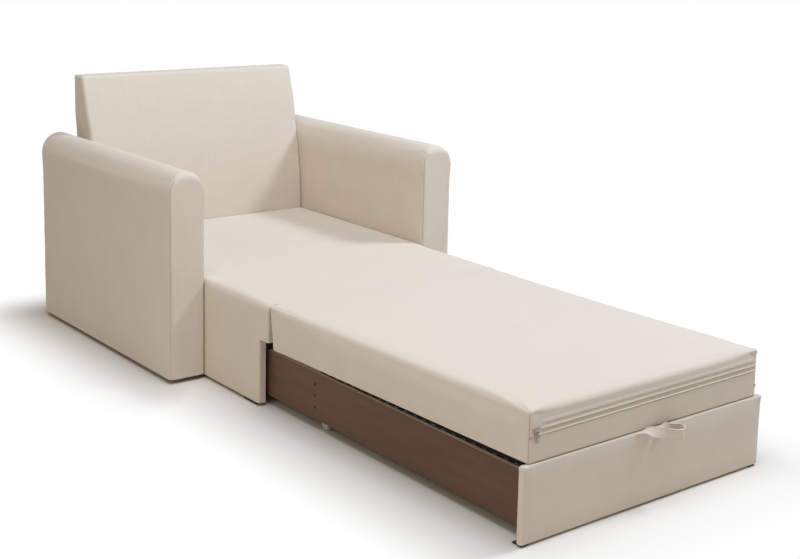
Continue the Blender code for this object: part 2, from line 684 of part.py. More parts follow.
def add_strap(shop, drawer):
    """Folded cloth loop: a flat band swept along its route, turning on edge towards the loop's end."""
    outline = bpy.data.curves.new("pull_strap_section", "CURVE")
    ring = outline.splines.new("POLY")
    ring.points.add(3)
    corners = ((-1, -1), (1, -1), (1, 1), (-1, 1))
    for point, (across, along) in zip(ring.points, corners):
        point.co = (across * STRAP_T / 2, along * STRAP_WIDTH / 2, 0.0, 1.0)
    ring.use_cyclic_u = True
    section = bpy.data.objects.new("pull_strap_section", outline)
    section.hide_render = True
    section.display_type = "WIRE"
    shop.cutters.objects.link(section)

    band = bpy.data.curves.new("pull_strap", "CURVE")
    band.dimensions = "3D"
    band.twist_mode = "Z_UP"
    band.bevel_mode = "OBJECT"
    band.bevel_object = section
    band.use_fill_caps = True
    band.resolution_u = 4
    route = strap_route()
    spline = band.splines.new("BEZIER")
    spline.bezier_points.add(len(route) - 1)
    for point, (place, turn) in zip(spline.bezier_points, route):
        point.co = place
        point.tilt = turn
        point.handle_left_type = "AUTO"
        point.handle_right_type = "AUTO"
    for point in (spline.bezier_points[0], spline.bezier_points[-1]):
        point.handle_left_type = "FREE"
        point.handle_right_type = "FREE"
        point.handle_left = point.co + Vector((0.0, -STRAP_REACH * 0.2, 0.0))
        point.handle_right = point.handle_left
    draft = bpy.data.objects.new("pull_strap_route", band)
    shop.cutters.objects.link(draft)
    bpy.context.view_layer.update()
    swept = draft.evaluated_get(bpy.context.evaluated_depsgraph_get())
    mesh = bpy.data.meshes.new_from_object(swept)
    bm = bmesh.new()
    bm.from_mesh(mesh)
    bmesh.ops.remove_doubles(bm, verts=bm.verts[:], dist=1e-5)
    bpy.data.objects.remove(draft, do_unlink=True)
    shop.piece("pull_strap", bm, "linen", drawer)


def add_rollers(shop, drawer):
    """Two rollers on riveted stub axle brackets behind the side boards."""
    place = DRAWER_RAIL_PLACE - WHEEL_AHEAD
    for side, sign in SIDES:
        face = DRAWER_INSIDE - FIT
        low, high = BRACKET_FOOT, BRACKET_FOOT + BRACKET_HEIGHT
        near, far = sorted((sign * (face - BRACKET_T), sign * face))
        bracket = shop.block(f"drawer_wheel_bracket_{side}", (near, place - BRACKET_WIDTH / 2, low),
                             (far, place + BRACKET_WIDTH / 2, high), "zinc", drawer)
        reach = BRACKET_T / 2 + FIT + WHEEL_WIDTH + FIT + BRACKET_WASHER_T
        axle_turn = (0.0, 0.0, math.radians(90 + 90 * sign))
        start = (sign * (face - BRACKET_T / 2), place, WHEEL_RADIUS)
        shop.cut_away(bracket, rod_form(AXLE_RADIUS, reach, AXLE_SIDES), start, axle_turn, "UNION")
        washer = (sign * (face - BRACKET_T - 2 * FIT - WHEEL_WIDTH), place, WHEEL_RADIUS)
        disc = rod_form(BRACKET_WASHER, BRACKET_WASHER_T, AXLE_SIDES)
        shop.cut_away(bracket, disc, washer, axle_turn, "UNION")
        hub = (sign * (face - BRACKET_T - FIT - WHEEL_WIDTH / 2), place, WHEEL_RADIUS)
        add_wheel(shop, drawer, f"drawer_wheel_{side}", hub)


def add_wheel(shop, drawer, name, hub):
    """A roller turned about its axle: bored hub and a tread with eased shoulders."""
    half = WHEEL_WIDTH / 2
    profile = ((WHEEL_BORE, -half), (WHEEL_BORE, half), (WHEEL_RADIUS - WHEEL_TREAD, half),
               (WHEEL_RADIUS, half - WHEEL_TREAD), (WHEEL_RADIUS, WHEEL_TREAD - half),
               (WHEEL_RADIUS - WHEEL_TREAD, -half))
    bm = bmesh.new()
    ring = [bm.verts.new((across, radius, 0.0)) for radius, across in profile]
    for first, second in zip(ring, ring[1:] + ring[:1]):
        bm.edges.new((first, second))
    wheel = shop.piece(name, bm, "grey_plastic", drawer, hub)
    turn = wheel.modifiers.new("turned", "SCREW")
    turn.axis = "X"
    turn.steps = WHEEL_SIDES
    turn.render_steps = WHEEL_SIDES
    turn.use_merge_vertices = True
    turn.merge_threshold = 0.00005
    turn.use_normal_calculate = True


def add_drawer(shop, root):
    """The drawer group, carried by an empty on its line of travel."""
    drawer = shop.empty("drawer_slide", (0.0, PANEL_BACK, 0.0), root)
    add_drawer_box(shop, drawer)
    add_drawer_front(shop, drawer)
    add_strap(shop, drawer)
    add_rollers(shop, drawer)


# Mattress
def add_mattress(shop, root):
    """Foam slab in a zipped cover, hung from the seat's front edge by a cloth tape."""
    hinge = shop.empty("mattress_flip", (0.0, HINGE_Y, HINGE_Z), root)
    base = Vector((0.0, -HINGE_GAP - MATTRESS_LENGTH / 2, -TOP_DROP - MATTRESS_T))
    size = (MATTRESS_WIDTH, MATTRESS_LENGTH, MATTRESS_T)
    skin = cushion_form(size, MATTRESS_EDGE, MATTRESS_CROWN, (4, 6, 1), fullness=MATTRESS_FULLNESS)
    cover = shop.piece("mattress_cover", skin, "linen", hinge, base)
    shop.thicken(cover)
    end_top = -TOP_DROP - MATTRESS_CROWN + MATTRESS_FULLNESS
    zip_place = Vector((0.0, -MATTRESS_END, end_top - ZIP_DEPTH_BELOW_TOP))
    zip_turn = (0.0, -ZIP_SLOPE, 0.0)
    slit = box_form((ZIP_LENGTH + 2 * ZIP_SLIT_GAP, 4 * SKIN, ZIP_TEETH + 2 * ZIP_SLIT_GAP))
    shop.cut_away(cover, slit, zip_place, zip_turn)

    inset = SKIN + SOFT_FIT
    tape_room = FIT + ZIP_TAPE_T + FIT
    foam_size = (MATTRESS_WIDTH - 2 * inset, MATTRESS_LENGTH - 2 * inset - tape_room,
                 MATTRESS_T - MATTRESS_CROWN - 2 * inset)
    foam = cushion_form(foam_size, MATTRESS_EDGE, 0.0, (1, 1, 1), fullness=MATTRESS_FULLNESS)
    shop.piece("mattress_foam", foam, "foam", hinge, base + Vector((0.0, tape_room / 2, inset)))

    tape_half = MATTRESS_WIDTH / 2 - HINGE_TAPE_MARGIN
    shop.block("mattress_hinge_tape", (-tape_half, -HINGE_TAPE_T / 2, -MATTRESS_EDGE - HINGE_TAPE_WIDTH),
               (tape_half, HINGE_TAPE_T / 2, -MATTRESS_EDGE), "linen", hinge)
    add_zip(shop, hinge, zip_place, zip_turn)


def add_zip(shop, hinge, place, turn):
    """Zip along the mattress end: tape behind the slit, teeth in it, slider and hanging pull."""
    line = shop.empty("zip_line", place, hinge, turn)
    tape_front = SKIN + FIT
    tape = shop.block("zip_tape", (-ZIP_LENGTH / 2, tape_front, -ZIP_TAPE_WIDTH / 2),
                      (ZIP_LENGTH / 2, tape_front + ZIP_TAPE_T, ZIP_TAPE_WIDTH / 2), "zip_tape", line)
    teeth_depth = tape_front + ZIP_TAPE_T / 2 + ZIP_PROUD
    teeth = box_form((ZIP_LENGTH, teeth_depth, ZIP_TEETH), (0.0, teeth_depth / 2 - ZIP_PROUD, 0.0))
    shop.cut_away(tape, teeth, operation="UNION")

    start = shop.empty("zip_slide", ((SLIDER_LENGTH - ZIP_LENGTH) / 2 + ZIP_TEETH, 0.0, 0.0), line)
    back = -2 * FIT
    slider = shop.block("zip_slider", (-SLIDER_LENGTH / 2, back - SLIDER_T, -SLIDER_HEIGHT / 2),
                        (SLIDER_LENGTH / 2, back, SLIDER_HEIGHT / 2), "zinc", start, 0.0006)
    channel_depth = ZIP_PROUD + FIT
    channel = box_form((2 * SLIDER_LENGTH, 2 * channel_depth, ZIP_TEETH + 2 * FIT))
    shop.cut_away(slider, channel)
    ear_y = back - SLIDER_T - SLIDER_EAR / 2
    ear = box_form((PULL_WIDTH, SLIDER_EAR + 2 * FIT, SLIDER_EAR), (0.0, ear_y + FIT, 0.0))
    shop.cut_away(slider, ear, operation="UNION")
    gap = box_form((PULL_EYE + 2 * FIT, 4 * SLIDER_EAR, 2 * SLIDER_EAR), (0.0, ear_y - 1.5 * SLIDER_EAR, 0.0))
    shop.cut_away(slider, gap)
    add_pull(shop, start, ear_y)


def add_pull(shop, start, ear_y):
    """Pull tab that hangs from the slider: a stem between its ears and a wider grip below."""
    stem = box_form((PULL_EYE, PULL_T, PULL_LENGTH / 2), (0.0, 0.0, -PULL_LENGTH / 4))
    pull = shop.piece("zip_pull", stem, "zinc", start, (0.0, ear_y, 0.0))
    grip = box_form((PULL_WIDTH, PULL_T, PULL_LENGTH / 2 + PULL_T))
    shop.cut_away(pull, grip, (0.0, ear_y, -PULL_LENGTH * 0.75), operation="UNION")


def centre_on_floor(root, parts):
    """Move the whole object so that its box stands on the floor about the origin."""
    bpy.context.view_layer.update()
    graph = bpy.context.evaluated_depsgraph_get()
    reach = []
    for item in parts.objects:
        if item.type == "MESH":
            shown = item.evaluated_get(graph)
            reach += [(shown.matrix_world @ Vector(corner)).y for corner in shown.bound_box]
    root.location.y = -(min(reach) + max(reach)) / 2


def main():
    """Build the chair bed, opened."""
    clear_scene()
    shop = Shop()
    root = shop.empty("chair_bed_root", (0.0, 0.0, 0.0))
    for side, sign in SIDES:
        add_arm(shop, root, side, sign)
    add_seat(shop, root)
    add_back(shop, root)
    add_drawer(shop, root)
    add_mattress(shop, root)
    centre_on_floor(root, shop.parts)


main()
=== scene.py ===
"""Dressed scene of an opened single chair bed.

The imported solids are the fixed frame. Every cloth piece is made here as its own mesh around them: the
padded arms, backrest, seat, mattress and drawer front are filled by a short cloth simulation, and their
seams, the zip, the pull loop, staples and screws are modelled over the result. Lengths are metres: X runs
across the chair, Y from the bed's foot end to the backrest and Z up.
"""

import json
import logging
import math
from collections.abc import Callable, Sequence
from dataclasses import dataclass
from enum import Enum

import bmesh
import bpy
import numpy as np
from mathutils import Matrix, Vector, bvhtree, kdtree, noise

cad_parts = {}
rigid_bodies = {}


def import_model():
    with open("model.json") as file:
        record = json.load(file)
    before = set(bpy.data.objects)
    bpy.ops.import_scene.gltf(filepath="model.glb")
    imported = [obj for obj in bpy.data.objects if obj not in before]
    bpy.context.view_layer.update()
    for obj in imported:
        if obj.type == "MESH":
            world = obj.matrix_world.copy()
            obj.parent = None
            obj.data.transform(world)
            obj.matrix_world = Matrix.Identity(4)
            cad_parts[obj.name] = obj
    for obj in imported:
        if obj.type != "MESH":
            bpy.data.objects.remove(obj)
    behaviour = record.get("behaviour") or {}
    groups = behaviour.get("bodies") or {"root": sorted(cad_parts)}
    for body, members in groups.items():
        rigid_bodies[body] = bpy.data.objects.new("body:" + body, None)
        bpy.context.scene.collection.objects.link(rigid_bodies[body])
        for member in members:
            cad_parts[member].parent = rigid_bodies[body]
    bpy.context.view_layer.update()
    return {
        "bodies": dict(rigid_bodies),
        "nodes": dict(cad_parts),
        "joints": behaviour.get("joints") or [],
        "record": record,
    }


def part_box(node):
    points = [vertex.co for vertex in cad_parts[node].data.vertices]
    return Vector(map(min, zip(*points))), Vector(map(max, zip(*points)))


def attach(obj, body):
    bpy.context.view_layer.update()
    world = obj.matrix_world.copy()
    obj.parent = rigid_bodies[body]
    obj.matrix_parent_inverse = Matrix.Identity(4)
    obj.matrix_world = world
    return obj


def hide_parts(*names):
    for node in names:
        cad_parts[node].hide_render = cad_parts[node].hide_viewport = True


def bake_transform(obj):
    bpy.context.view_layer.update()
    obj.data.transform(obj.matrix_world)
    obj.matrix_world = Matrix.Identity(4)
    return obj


LOG = logging.getLogger("chair_bed")
FREE = math.inf  # limit on a side of a box that stays square
TINY = 1e-9  # length that counts as none
TOUCH = 1e-6  # distance at which a face counts as lying on a plane
EDGE_MIDDLE = 1 - math.sqrt(0.5)  # inset of a rounded edge's middle, as a share of its radius
UP = np.array((0.0, 0.0, 1.0))
TO_FOOT = np.array((0.0, -1.0, 0.0))
JOINT_STEP = 0.0024  # how far the seat's top stands above the mattress's at their joint
JOINT_FADE = 0.15  # reach of the slope that evens out this step

Array = np.ndarray
Pair = tuple[float, float]
Point = tuple[float, float, float]
Colour = tuple[float, float, float]
Strength = Callable[[Vector], float]
MeshPart = tuple[Array, list[list[int]]]
Socket = bpy.types.NodeSocket
Finish = bpy.types.Material
Piece = bpy.types.Object


class Side(Enum):
    """The chair's two sides, with the sign of X on each."""

    LEFT = -1
    RIGHT = 1

    @property
    def word(self) -> str:
        """Lower case word that the side's nodes carry in their names."""
        return self.name.lower()


class Body(Enum):
    """Moving groups that a piece can ride on."""

    CHAIR = "chair"
    DRAWER = "drawer"
    MATTRESS = "mattress"


class Grain(Enum):
    """Direction in which a timber's grain runs."""

    ACROSS = 0
    ALONG = 1
    UPRIGHT = 2


# Shader nodes
class NodeSheet:
    """Lays out the nodes of one material around its Principled shader."""

    def __init__(self, name: str) -> None:
        """Start an empty node material.

        Args:
            name: Name of the material.
        """
        self.material = bpy.data.materials.new(name)
        self.material.use_nodes = True
        self.tree = self.material.node_tree
        self.shader = self.tree.nodes["Principled BSDF"]

    def feed(self, target: Socket, value: object) -> None:
        """Link an output to an input, or set the input to a constant.

        Args:
            target: The input.
            value: Output socket of another node, or a constant.
        """
        if isinstance(value, Socket):
            self.tree.links.new(value, target)
        else:
            target.default_value = value

    def add(self, kind: str, **values: object) -> bpy.types.Node:
        """Add a node and set its properties and inputs.

        Args:
            kind: Blender's type name of the node.
            **values: Node properties, or input sockets written with underscores for blanks.

        Returns:
            The new node.
        """
        node = self.tree.nodes.new(kind)
        for key, value in values.items():
            if hasattr(node, key):
                setattr(node, key, value)
            else:
                self.feed(node.inputs[key.replace("_", " ")], value)
        return node

    def set(self, **values: object) -> None:
        """Feed the Principled shader's own inputs, written with underscores for blanks."""
        for key, value in values.items():
            self.feed(self.shader.inputs[key.replace("_", " ")], value)

    def place(self) -> Socket:
        """Object space position, in metres."""
        return self.add("ShaderNodeTexCoord").outputs["Object"]

    def stretched(self, place: Socket, scale: Sequence[float]) -> Socket:
        """Position scaled by its own factor on each axis."""
        return self.add("ShaderNodeMapping", Vector=place, Scale=tuple(scale)).outputs["Vector"]

    def noise(self, place: Socket, scale: float, detail: float = 2.0, roughness: float = 0.5) -> Socket:
        """Soft noise from 0 to 1 at a position, with a number of finer layers and their weight."""
        node = self.add("ShaderNodeTexNoise", Vector=place, Scale=scale, Detail=detail, Roughness=roughness)
        return node.outputs["Fac"]

    def sum(self, first: Socket, second: Socket | float, operation: str = "ADD") -> Socket:
        """Combine two values.

        Args:
            first: First value.
            second: Second value, a socket or a number.
            operation: Name of the math operation.

        Returns:
            Socket with the result.
        """
        node = self.add("ShaderNodeMath", operation=operation)
        self.feed(node.inputs[0], first)
        self.feed(node.inputs[1], second)
        return node.outputs[0]

    def weighted(self, *parts: tuple[Socket, float]) -> Socket:
        """Sum of values, each times its weight.

        Args:
            *parts: Value sockets with their weights.

        Returns:
            Socket with the sum.
        """
        total = None
        for value, weight in parts:
            share = self.sum(value, weight, "MULTIPLY")
            total = share if total is None else self.sum(total, share)
        return total

    def ramp(self, value: Socket, low: float, high: float) -> Socket:
        """Stretch a range of a value to 0 to 1, clamped."""
        node = self.add("ShaderNodeMapRange", clamp=True, Value=value, From_Min=low, From_Max=high)
        return node.outputs["Result"]

    def blend(self, factor: Socket, first: Colour | Socket, second: Colour | Socket) -> Socket:
        """Blend two colours by a factor.

        Args:
            factor: Socket from 0 to 1.
            first: Colour at 0.
            second: Colour at 1.

        Returns:
            Colour socket.
        """
        node = self.add("ShaderNodeMix", data_type="RGBA")
        for number, value in ((0, factor), (6, first), (7, second)):
            self.feed(node.inputs[number], (*value, 1.0) if isinstance(value, tuple) else value)
        return node.outputs[2]

    def colour(self, socket: Socket) -> None:
        """Feed the shader's base colour."""
        self.set(Base_Color=socket)

    def roughness(self, value: Socket, low: float, high: float) -> None:
        """Vary the shader's roughness between two values."""
        node = self.add("ShaderNodeMapRange", Value=value, To_Min=low, To_Max=high)
        self.set(Roughness=node.outputs["Result"])

    def relief(self, height: Socket, depth: float, strength: float) -> None:
        """Feed a fine relief of a depth in metres to the shader's normal."""
        node = self.add("ShaderNodeBump", Height=height, Strength=strength, Distance=depth)
        self.set(Normal=node.outputs["Normal"])


def shade(colour: Colour, factor: float) -> Colour:
    """A colour made lighter or darker by a factor."""
    return tuple(min(1.0, channel * factor) for channel in colour)


# Finishes
@dataclass(frozen=True)
class LinenCloth:
    """Plain weave upholstery cloth with uneven, slubbed yarns in both directions."""

    name: str
    colour: Colour
    yarn: float = 0.0013
    slub_length: float = 0.070
    contrast: float = 0.075
    sheen: float = 0.18
    weights: tuple[float, float, float] = (1.0, 0.8, 0.35)
    weave_height: float = 0.12
    slub_height: float = 0.30

    def material(self) -> Finish:
        """Build the cloth's node material."""
        sheet = NodeSheet(self.name)
        place = sheet.place()
        fine, coarse = 0.42 / self.yarn, 1.0 / self.slub_length
        streaks, bands = [], []
        for axis, (word, weight) in enumerate(zip("XYZ", self.weights)):
            scale = [coarse, coarse, coarse]
            scale[axis] = fine
            streaks.append((sheet.noise(sheet.stretched(place, scale), 1.0, 1.0, 0.4), weight))
            wave = sheet.add("ShaderNodeTexWave", wave_type="BANDS", bands_direction=word, Vector=place,
                             Scale=2 * math.pi / (20 * self.yarn))
            bands.append((wave.outputs["Fac"], self.weave_height))
        slubs = sheet.weighted(*streaks)
        clouds = sheet.noise(place, 5.0, 3.0)
        grain = sheet.noise(place, 0.62 / self.yarn, 1.0)
        tone = sheet.weighted((sheet.ramp(slubs, 0.74, 1.41), 0.58), (sheet.ramp(grain, 0.25, 0.75), 0.30),
                              (sheet.ramp(clouds, 0.3, 0.7), 0.12))
        dark, light = shade(self.colour, 1 - self.contrast / 2), shade(self.colour, 1 + self.contrast / 2)
        sheet.colour(sheet.blend(tone, dark, light))
        sheet.relief(sheet.weighted(*bands, (slubs, self.slub_height)), 0.0009, 0.30)
        sheet.roughness(tone, 0.96, 0.86)
        sheet.set(Sheen_Weight=self.sheen, Sheen_Roughness=0.55, Specular_IOR_Level=0.18,
                  Sheen_Tint=(1.0, 0.97, 0.93, 1.0))
        return sheet.material


@dataclass(frozen=True)
class YarnFinish:
    """Sewing thread or zip coil: a plain fibre colour with a fine twist."""

    name: str
    colour: Colour

    def material(self) -> Finish:
        """Build the thread's node material."""
        sheet = NodeSheet(self.name)
        twist = sheet.noise(sheet.place(), 1400.0, 2.0)
        dark, light = shade(self.colour, 0.88), shade(self.colour, 1.08)
        sheet.colour(sheet.blend(sheet.ramp(twist, 0.3, 0.7), dark, light))
        sheet.relief(twist, 0.0002, 0.4)
        sheet.roughness(twist, 0.55, 0.75)
        sheet.set(Sheen_Weight=0.1, Specular_IOR_Level=0.35)
        return sheet.material


@dataclass(frozen=True)
class FeltCloth:
    """Black spun lining with a pressed dot pattern."""

    name: str
    colour: Colour
    dot: float = 0.0024

    def material(self) -> Finish:
        """Build the lining's node material."""
        sheet = NodeSheet(self.name)
        place = sheet.place()
        dots = sheet.add("ShaderNodeTexVoronoi", Vector=place, Scale=1 / self.dot, Randomness=0.25)
        fibres = sheet.noise(place, 260.0, 4.0, 0.65)
        sheet.colour(sheet.blend(sheet.ramp(fibres, 0.35, 0.7), self.colour, shade(self.colour, 2.1)))
        sheet.relief(sheet.sum(dots.outputs["Distance"], sheet.sum(fibres, 0.5, "MULTIPLY")), 0.0005, 0.5)
        sheet.roughness(fibres, 0.85, 1.0)
        sheet.set(Sheen_Weight=0.12, Specular_IOR_Level=0.2)
        return sheet.material


@dataclass(frozen=True)
class FoiledBoard:
    """Fibreboard with a brown foil on its faces and the bare tan core on its top edge."""

    name: str
    foil: Colour
    core: Colour

    def material(self) -> Finish:
        """Build the board's node material."""
        sheet = NodeSheet(self.name)
        place = sheet.place()
        grain = sheet.noise(sheet.stretched(place, (60.0, 6.0, 60.0)), 1.0, 4.0, 0.6)
        specks = sheet.noise(place, 420.0, 3.0, 0.7)
        wear = sheet.noise(place, 14.0, 5.0, 0.6)
        mottle = sheet.weighted((grain, 0.55), (specks, 0.45))
        foil = sheet.blend(sheet.ramp(mottle, 0.36, 0.64), shade(self.foil, 0.84), shade(self.foil, 1.17))
        foil = sheet.blend(sheet.ramp(wear, 0.55, 0.85), foil, shade(self.foil, 1.22))
        core = sheet.blend(sheet.ramp(specks, 0.35, 0.65), shade(self.core, 0.80), shade(self.core, 1.15))
        facing = sheet.add("ShaderNodeNewGeometry").outputs["Normal"]
        parts = sheet.add("ShaderNodeSeparateXYZ", Vector=facing)
        upward = sheet.ramp(parts.outputs["Z"], 0.55, 0.75)
        sheet.colour(sheet.blend(upward, foil, core))
        sheet.relief(mottle, 0.0003, 0.25)
        sheet.roughness(specks, 0.48, 0.68)
        sheet.set(Specular_IOR_Level=0.35)
        return sheet.material


@dataclass(frozen=True)
class RawTimber:
    """Planed softwood or chipboard with its grain along one axis."""

    name: str
    early: Colour
    late: Colour
    grain: Grain
    ring: float = 0.018
    flakes: float = 0.0

    def material(self) -> Finish:
        """Build the timber's node material."""
        sheet = NodeSheet(self.name)
        place = sheet.place()
        scale = [1 / self.ring] * 3
        scale[self.grain.value] /= 14
        rings = sheet.noise(sheet.stretched(place, scale), 1.0, 3.0, 0.55)
        pores = sheet.noise(sheet.stretched(place, [factor * 9 for factor in scale]), 1.0, 3.0, 0.6)
        tone = sheet.weighted((rings, 0.65), (pores, 0.35))
        if self.flakes > 0:
            chips = sheet.add("ShaderNodeTexVoronoi", Vector=place, Scale=1 / self.flakes)
            chip_tone = sheet.add("ShaderNodeSeparateXYZ", Vector=chips.outputs["Color"])
            tone = sheet.weighted((tone, 0.35), (chip_tone.outputs["X"], 0.65))
        sheet.colour(sheet.blend(sheet.ramp(tone, 0.30, 0.70), self.early, self.late))
        sheet.relief(tone, 0.0005, 0.3)
        sheet.roughness(pores, 0.62, 0.85)
        sheet.set(Specular_IOR_Level=0.3)
        return sheet.material


@dataclass(frozen=True)
class MouldedPlastic:
    """Moulded plastic with a fine spark texture and rubbed patches."""

    name: str
    colour: Colour
    gloss: float = 0.45

    def material(self) -> Finish:
        """Build the plastic's node material."""
        sheet = NodeSheet(self.name)
        place = sheet.place()
        spark = sheet.noise(place, 900.0, 2.0)
        rub = sheet.noise(place, 40.0, 4.0, 0.6)
        sheet.colour(sheet.blend(sheet.ramp(rub, 0.45, 0.8), self.colour, shade(self.colour, 1.35)))
        sheet.relief(spark, 0.0002, 0.25)
        sheet.roughness(rub, self.gloss, self.gloss + 0.2)
        return sheet.material


@dataclass(frozen=True)
class PlatedMetal:
    """Zinc plated or coated metal with slight cloudiness."""

    name: str
    colour: Colour
    low: float = 0.28
    high: float = 0.48

    def material(self) -> Finish:
        """Build the metal's node material."""
        sheet = NodeSheet(self.name)
        place = sheet.place()
        cloud = sheet.noise(place, 120.0, 4.0, 0.6)
        dark, light = shade(self.colour, 0.82), shade(self.colour, 1.08)
        sheet.colour(sheet.blend(sheet.ramp(cloud, 0.3, 0.7), dark, light))
        sheet.relief(sheet.noise(place, 1500.0, 2.0), 0.0001, 0.2)
        sheet.roughness(cloud, self.low, self.high)
        sheet.set(Metallic=1.0)
        return sheet.material


class Finishes:
    """All the finishes of the chair bed, built once."""

    def __init__(self) -> None:
        """Build every material."""
        pine, pine_late = (0.56, 0.40, 0.23), (0.40, 0.25, 0.12)
        chip, chip_dark = (0.50, 0.37, 0.22), (0.30, 0.20, 0.11)
        brown_foil, tan_core = (0.122, 0.060, 0.034), (0.66, 0.54, 0.42)
        # The near-black foil and core are painted shade: they darken the front seat rail where shadow falls
        # under the seat's overhang.
        painted_shade_foil, painted_shade_core = (0.016, 0.012, 0.010), (0.03, 0.022, 0.018)
        self.linen = LinenCloth("beige_linen", (0.733, 0.642, 0.542)).material()
        self.thread = YarnFinish("sewing_thread", (0.66, 0.58, 0.49)).material()
        # Dark thread: the stitches are real, their dark colour is painted shade along the seam grooves.
        self.seam_thread = YarnFinish("seam_thread", (0.33, 0.25, 0.18)).material()
        # Lighter cloth on the lips' folds is a painted highlight along their ridges.
        self.lip_fold = LinenCloth("zip_lip_fold", (0.90, 0.82, 0.72)).material()
        self.coil = YarnFinish("zip_coil", (0.74, 0.65, 0.54)).material()
        self.lining = FeltCloth("black_lining", (0.006, 0.006, 0.007)).material()
        self.brown_board = FoiledBoard("brown_foiled_board", brown_foil, tan_core).material()
        # Near-black board that paints the shade under the seat's overhang.
        self.dark_board = FoiledBoard("dark_foiled_board", painted_shade_foil, painted_shade_core).material()
        self.timber = {run: RawTimber(f"pine_{run.name.lower()}", pine, pine_late, run).material()
                       for run in Grain}
        self.chipboard = RawTimber("chipboard", chip, chip_dark, Grain.ALONG, 0.012, 0.0035).material()
        self.black_plastic = MouldedPlastic("black_plastic", (0.012, 0.012, 0.013)).material()
        self.roller = MouldedPlastic("grey_roller", (0.42, 0.42, 0.41), 0.38).material()
        self.zinc = PlatedMetal("zinc_plate", (0.62, 0.61, 0.59)).material()
        self.staple = PlatedMetal("staple_wire", (0.80, 0.80, 0.80), 0.25, 0.4).material()
        self.screw = PlatedMetal("dark_screw", (0.022, 0.019, 0.017), 0.45, 0.65).material()
        self.slider = PlatedMetal("coated_slider", (0.36, 0.32, 0.27), 0.50, 0.70).material()


# Meshes
def spaced(low: float, high: float, cell: float, near_low: Sequence[float] = (),
           near_high: Sequence[float] = ()) -> Array:
    """Grid marks between two ends, with closer marks near an end.

    Args:
        low: First mark.
        high: Last mark.
        cell: Largest step in the open middle.
        near_low: Distances of extra marks from the low end.
        near_high: Distances of extra marks from the high end.

    Returns:
        Rising marks.
    """
    start = [low] + [low + step for step in near_low]
    stop = [high - step for step in reversed(near_high)] + [high]
    count = max(1, math.ceil((stop[0] - start[-1]) / cell))
    middle = [start[-1] + (stop[0] - start[-1]) * step / count for step in range(1, count)]
    return np.array(start + middle + stop)


def eased(radius: float, steps: int = 4) -> list[float]:
    """Distances that divide a rounded edge into steps."""
    return [radius * step / steps for step in range(1, steps + 1)]


def stretched(values: Array, mark: float, moved: Array, fade: float) -> Array:
    """Widen or narrow a band from zero to a mark, and ease back to no change beyond it."""
    beyond = moved + (values - mark) * (mark + fade - moved) / fade
    return np.where(values < mark, values * moved / mark, np.where(values < mark + fade, beyond, values))


def ratio(first: Array, second: Array, otherwise: float) -> Array:
    """Quotient of two rows of lengths, with another value where the second length is none."""
    return np.divide(first, second, out=np.full_like(first, otherwise), where=second > TINY)


def smooth_share(share: Array | float) -> Array | float:
    """Share from 0 to 1 that starts and ends gently."""
    return share ** 2 * (3 - 2 * share)


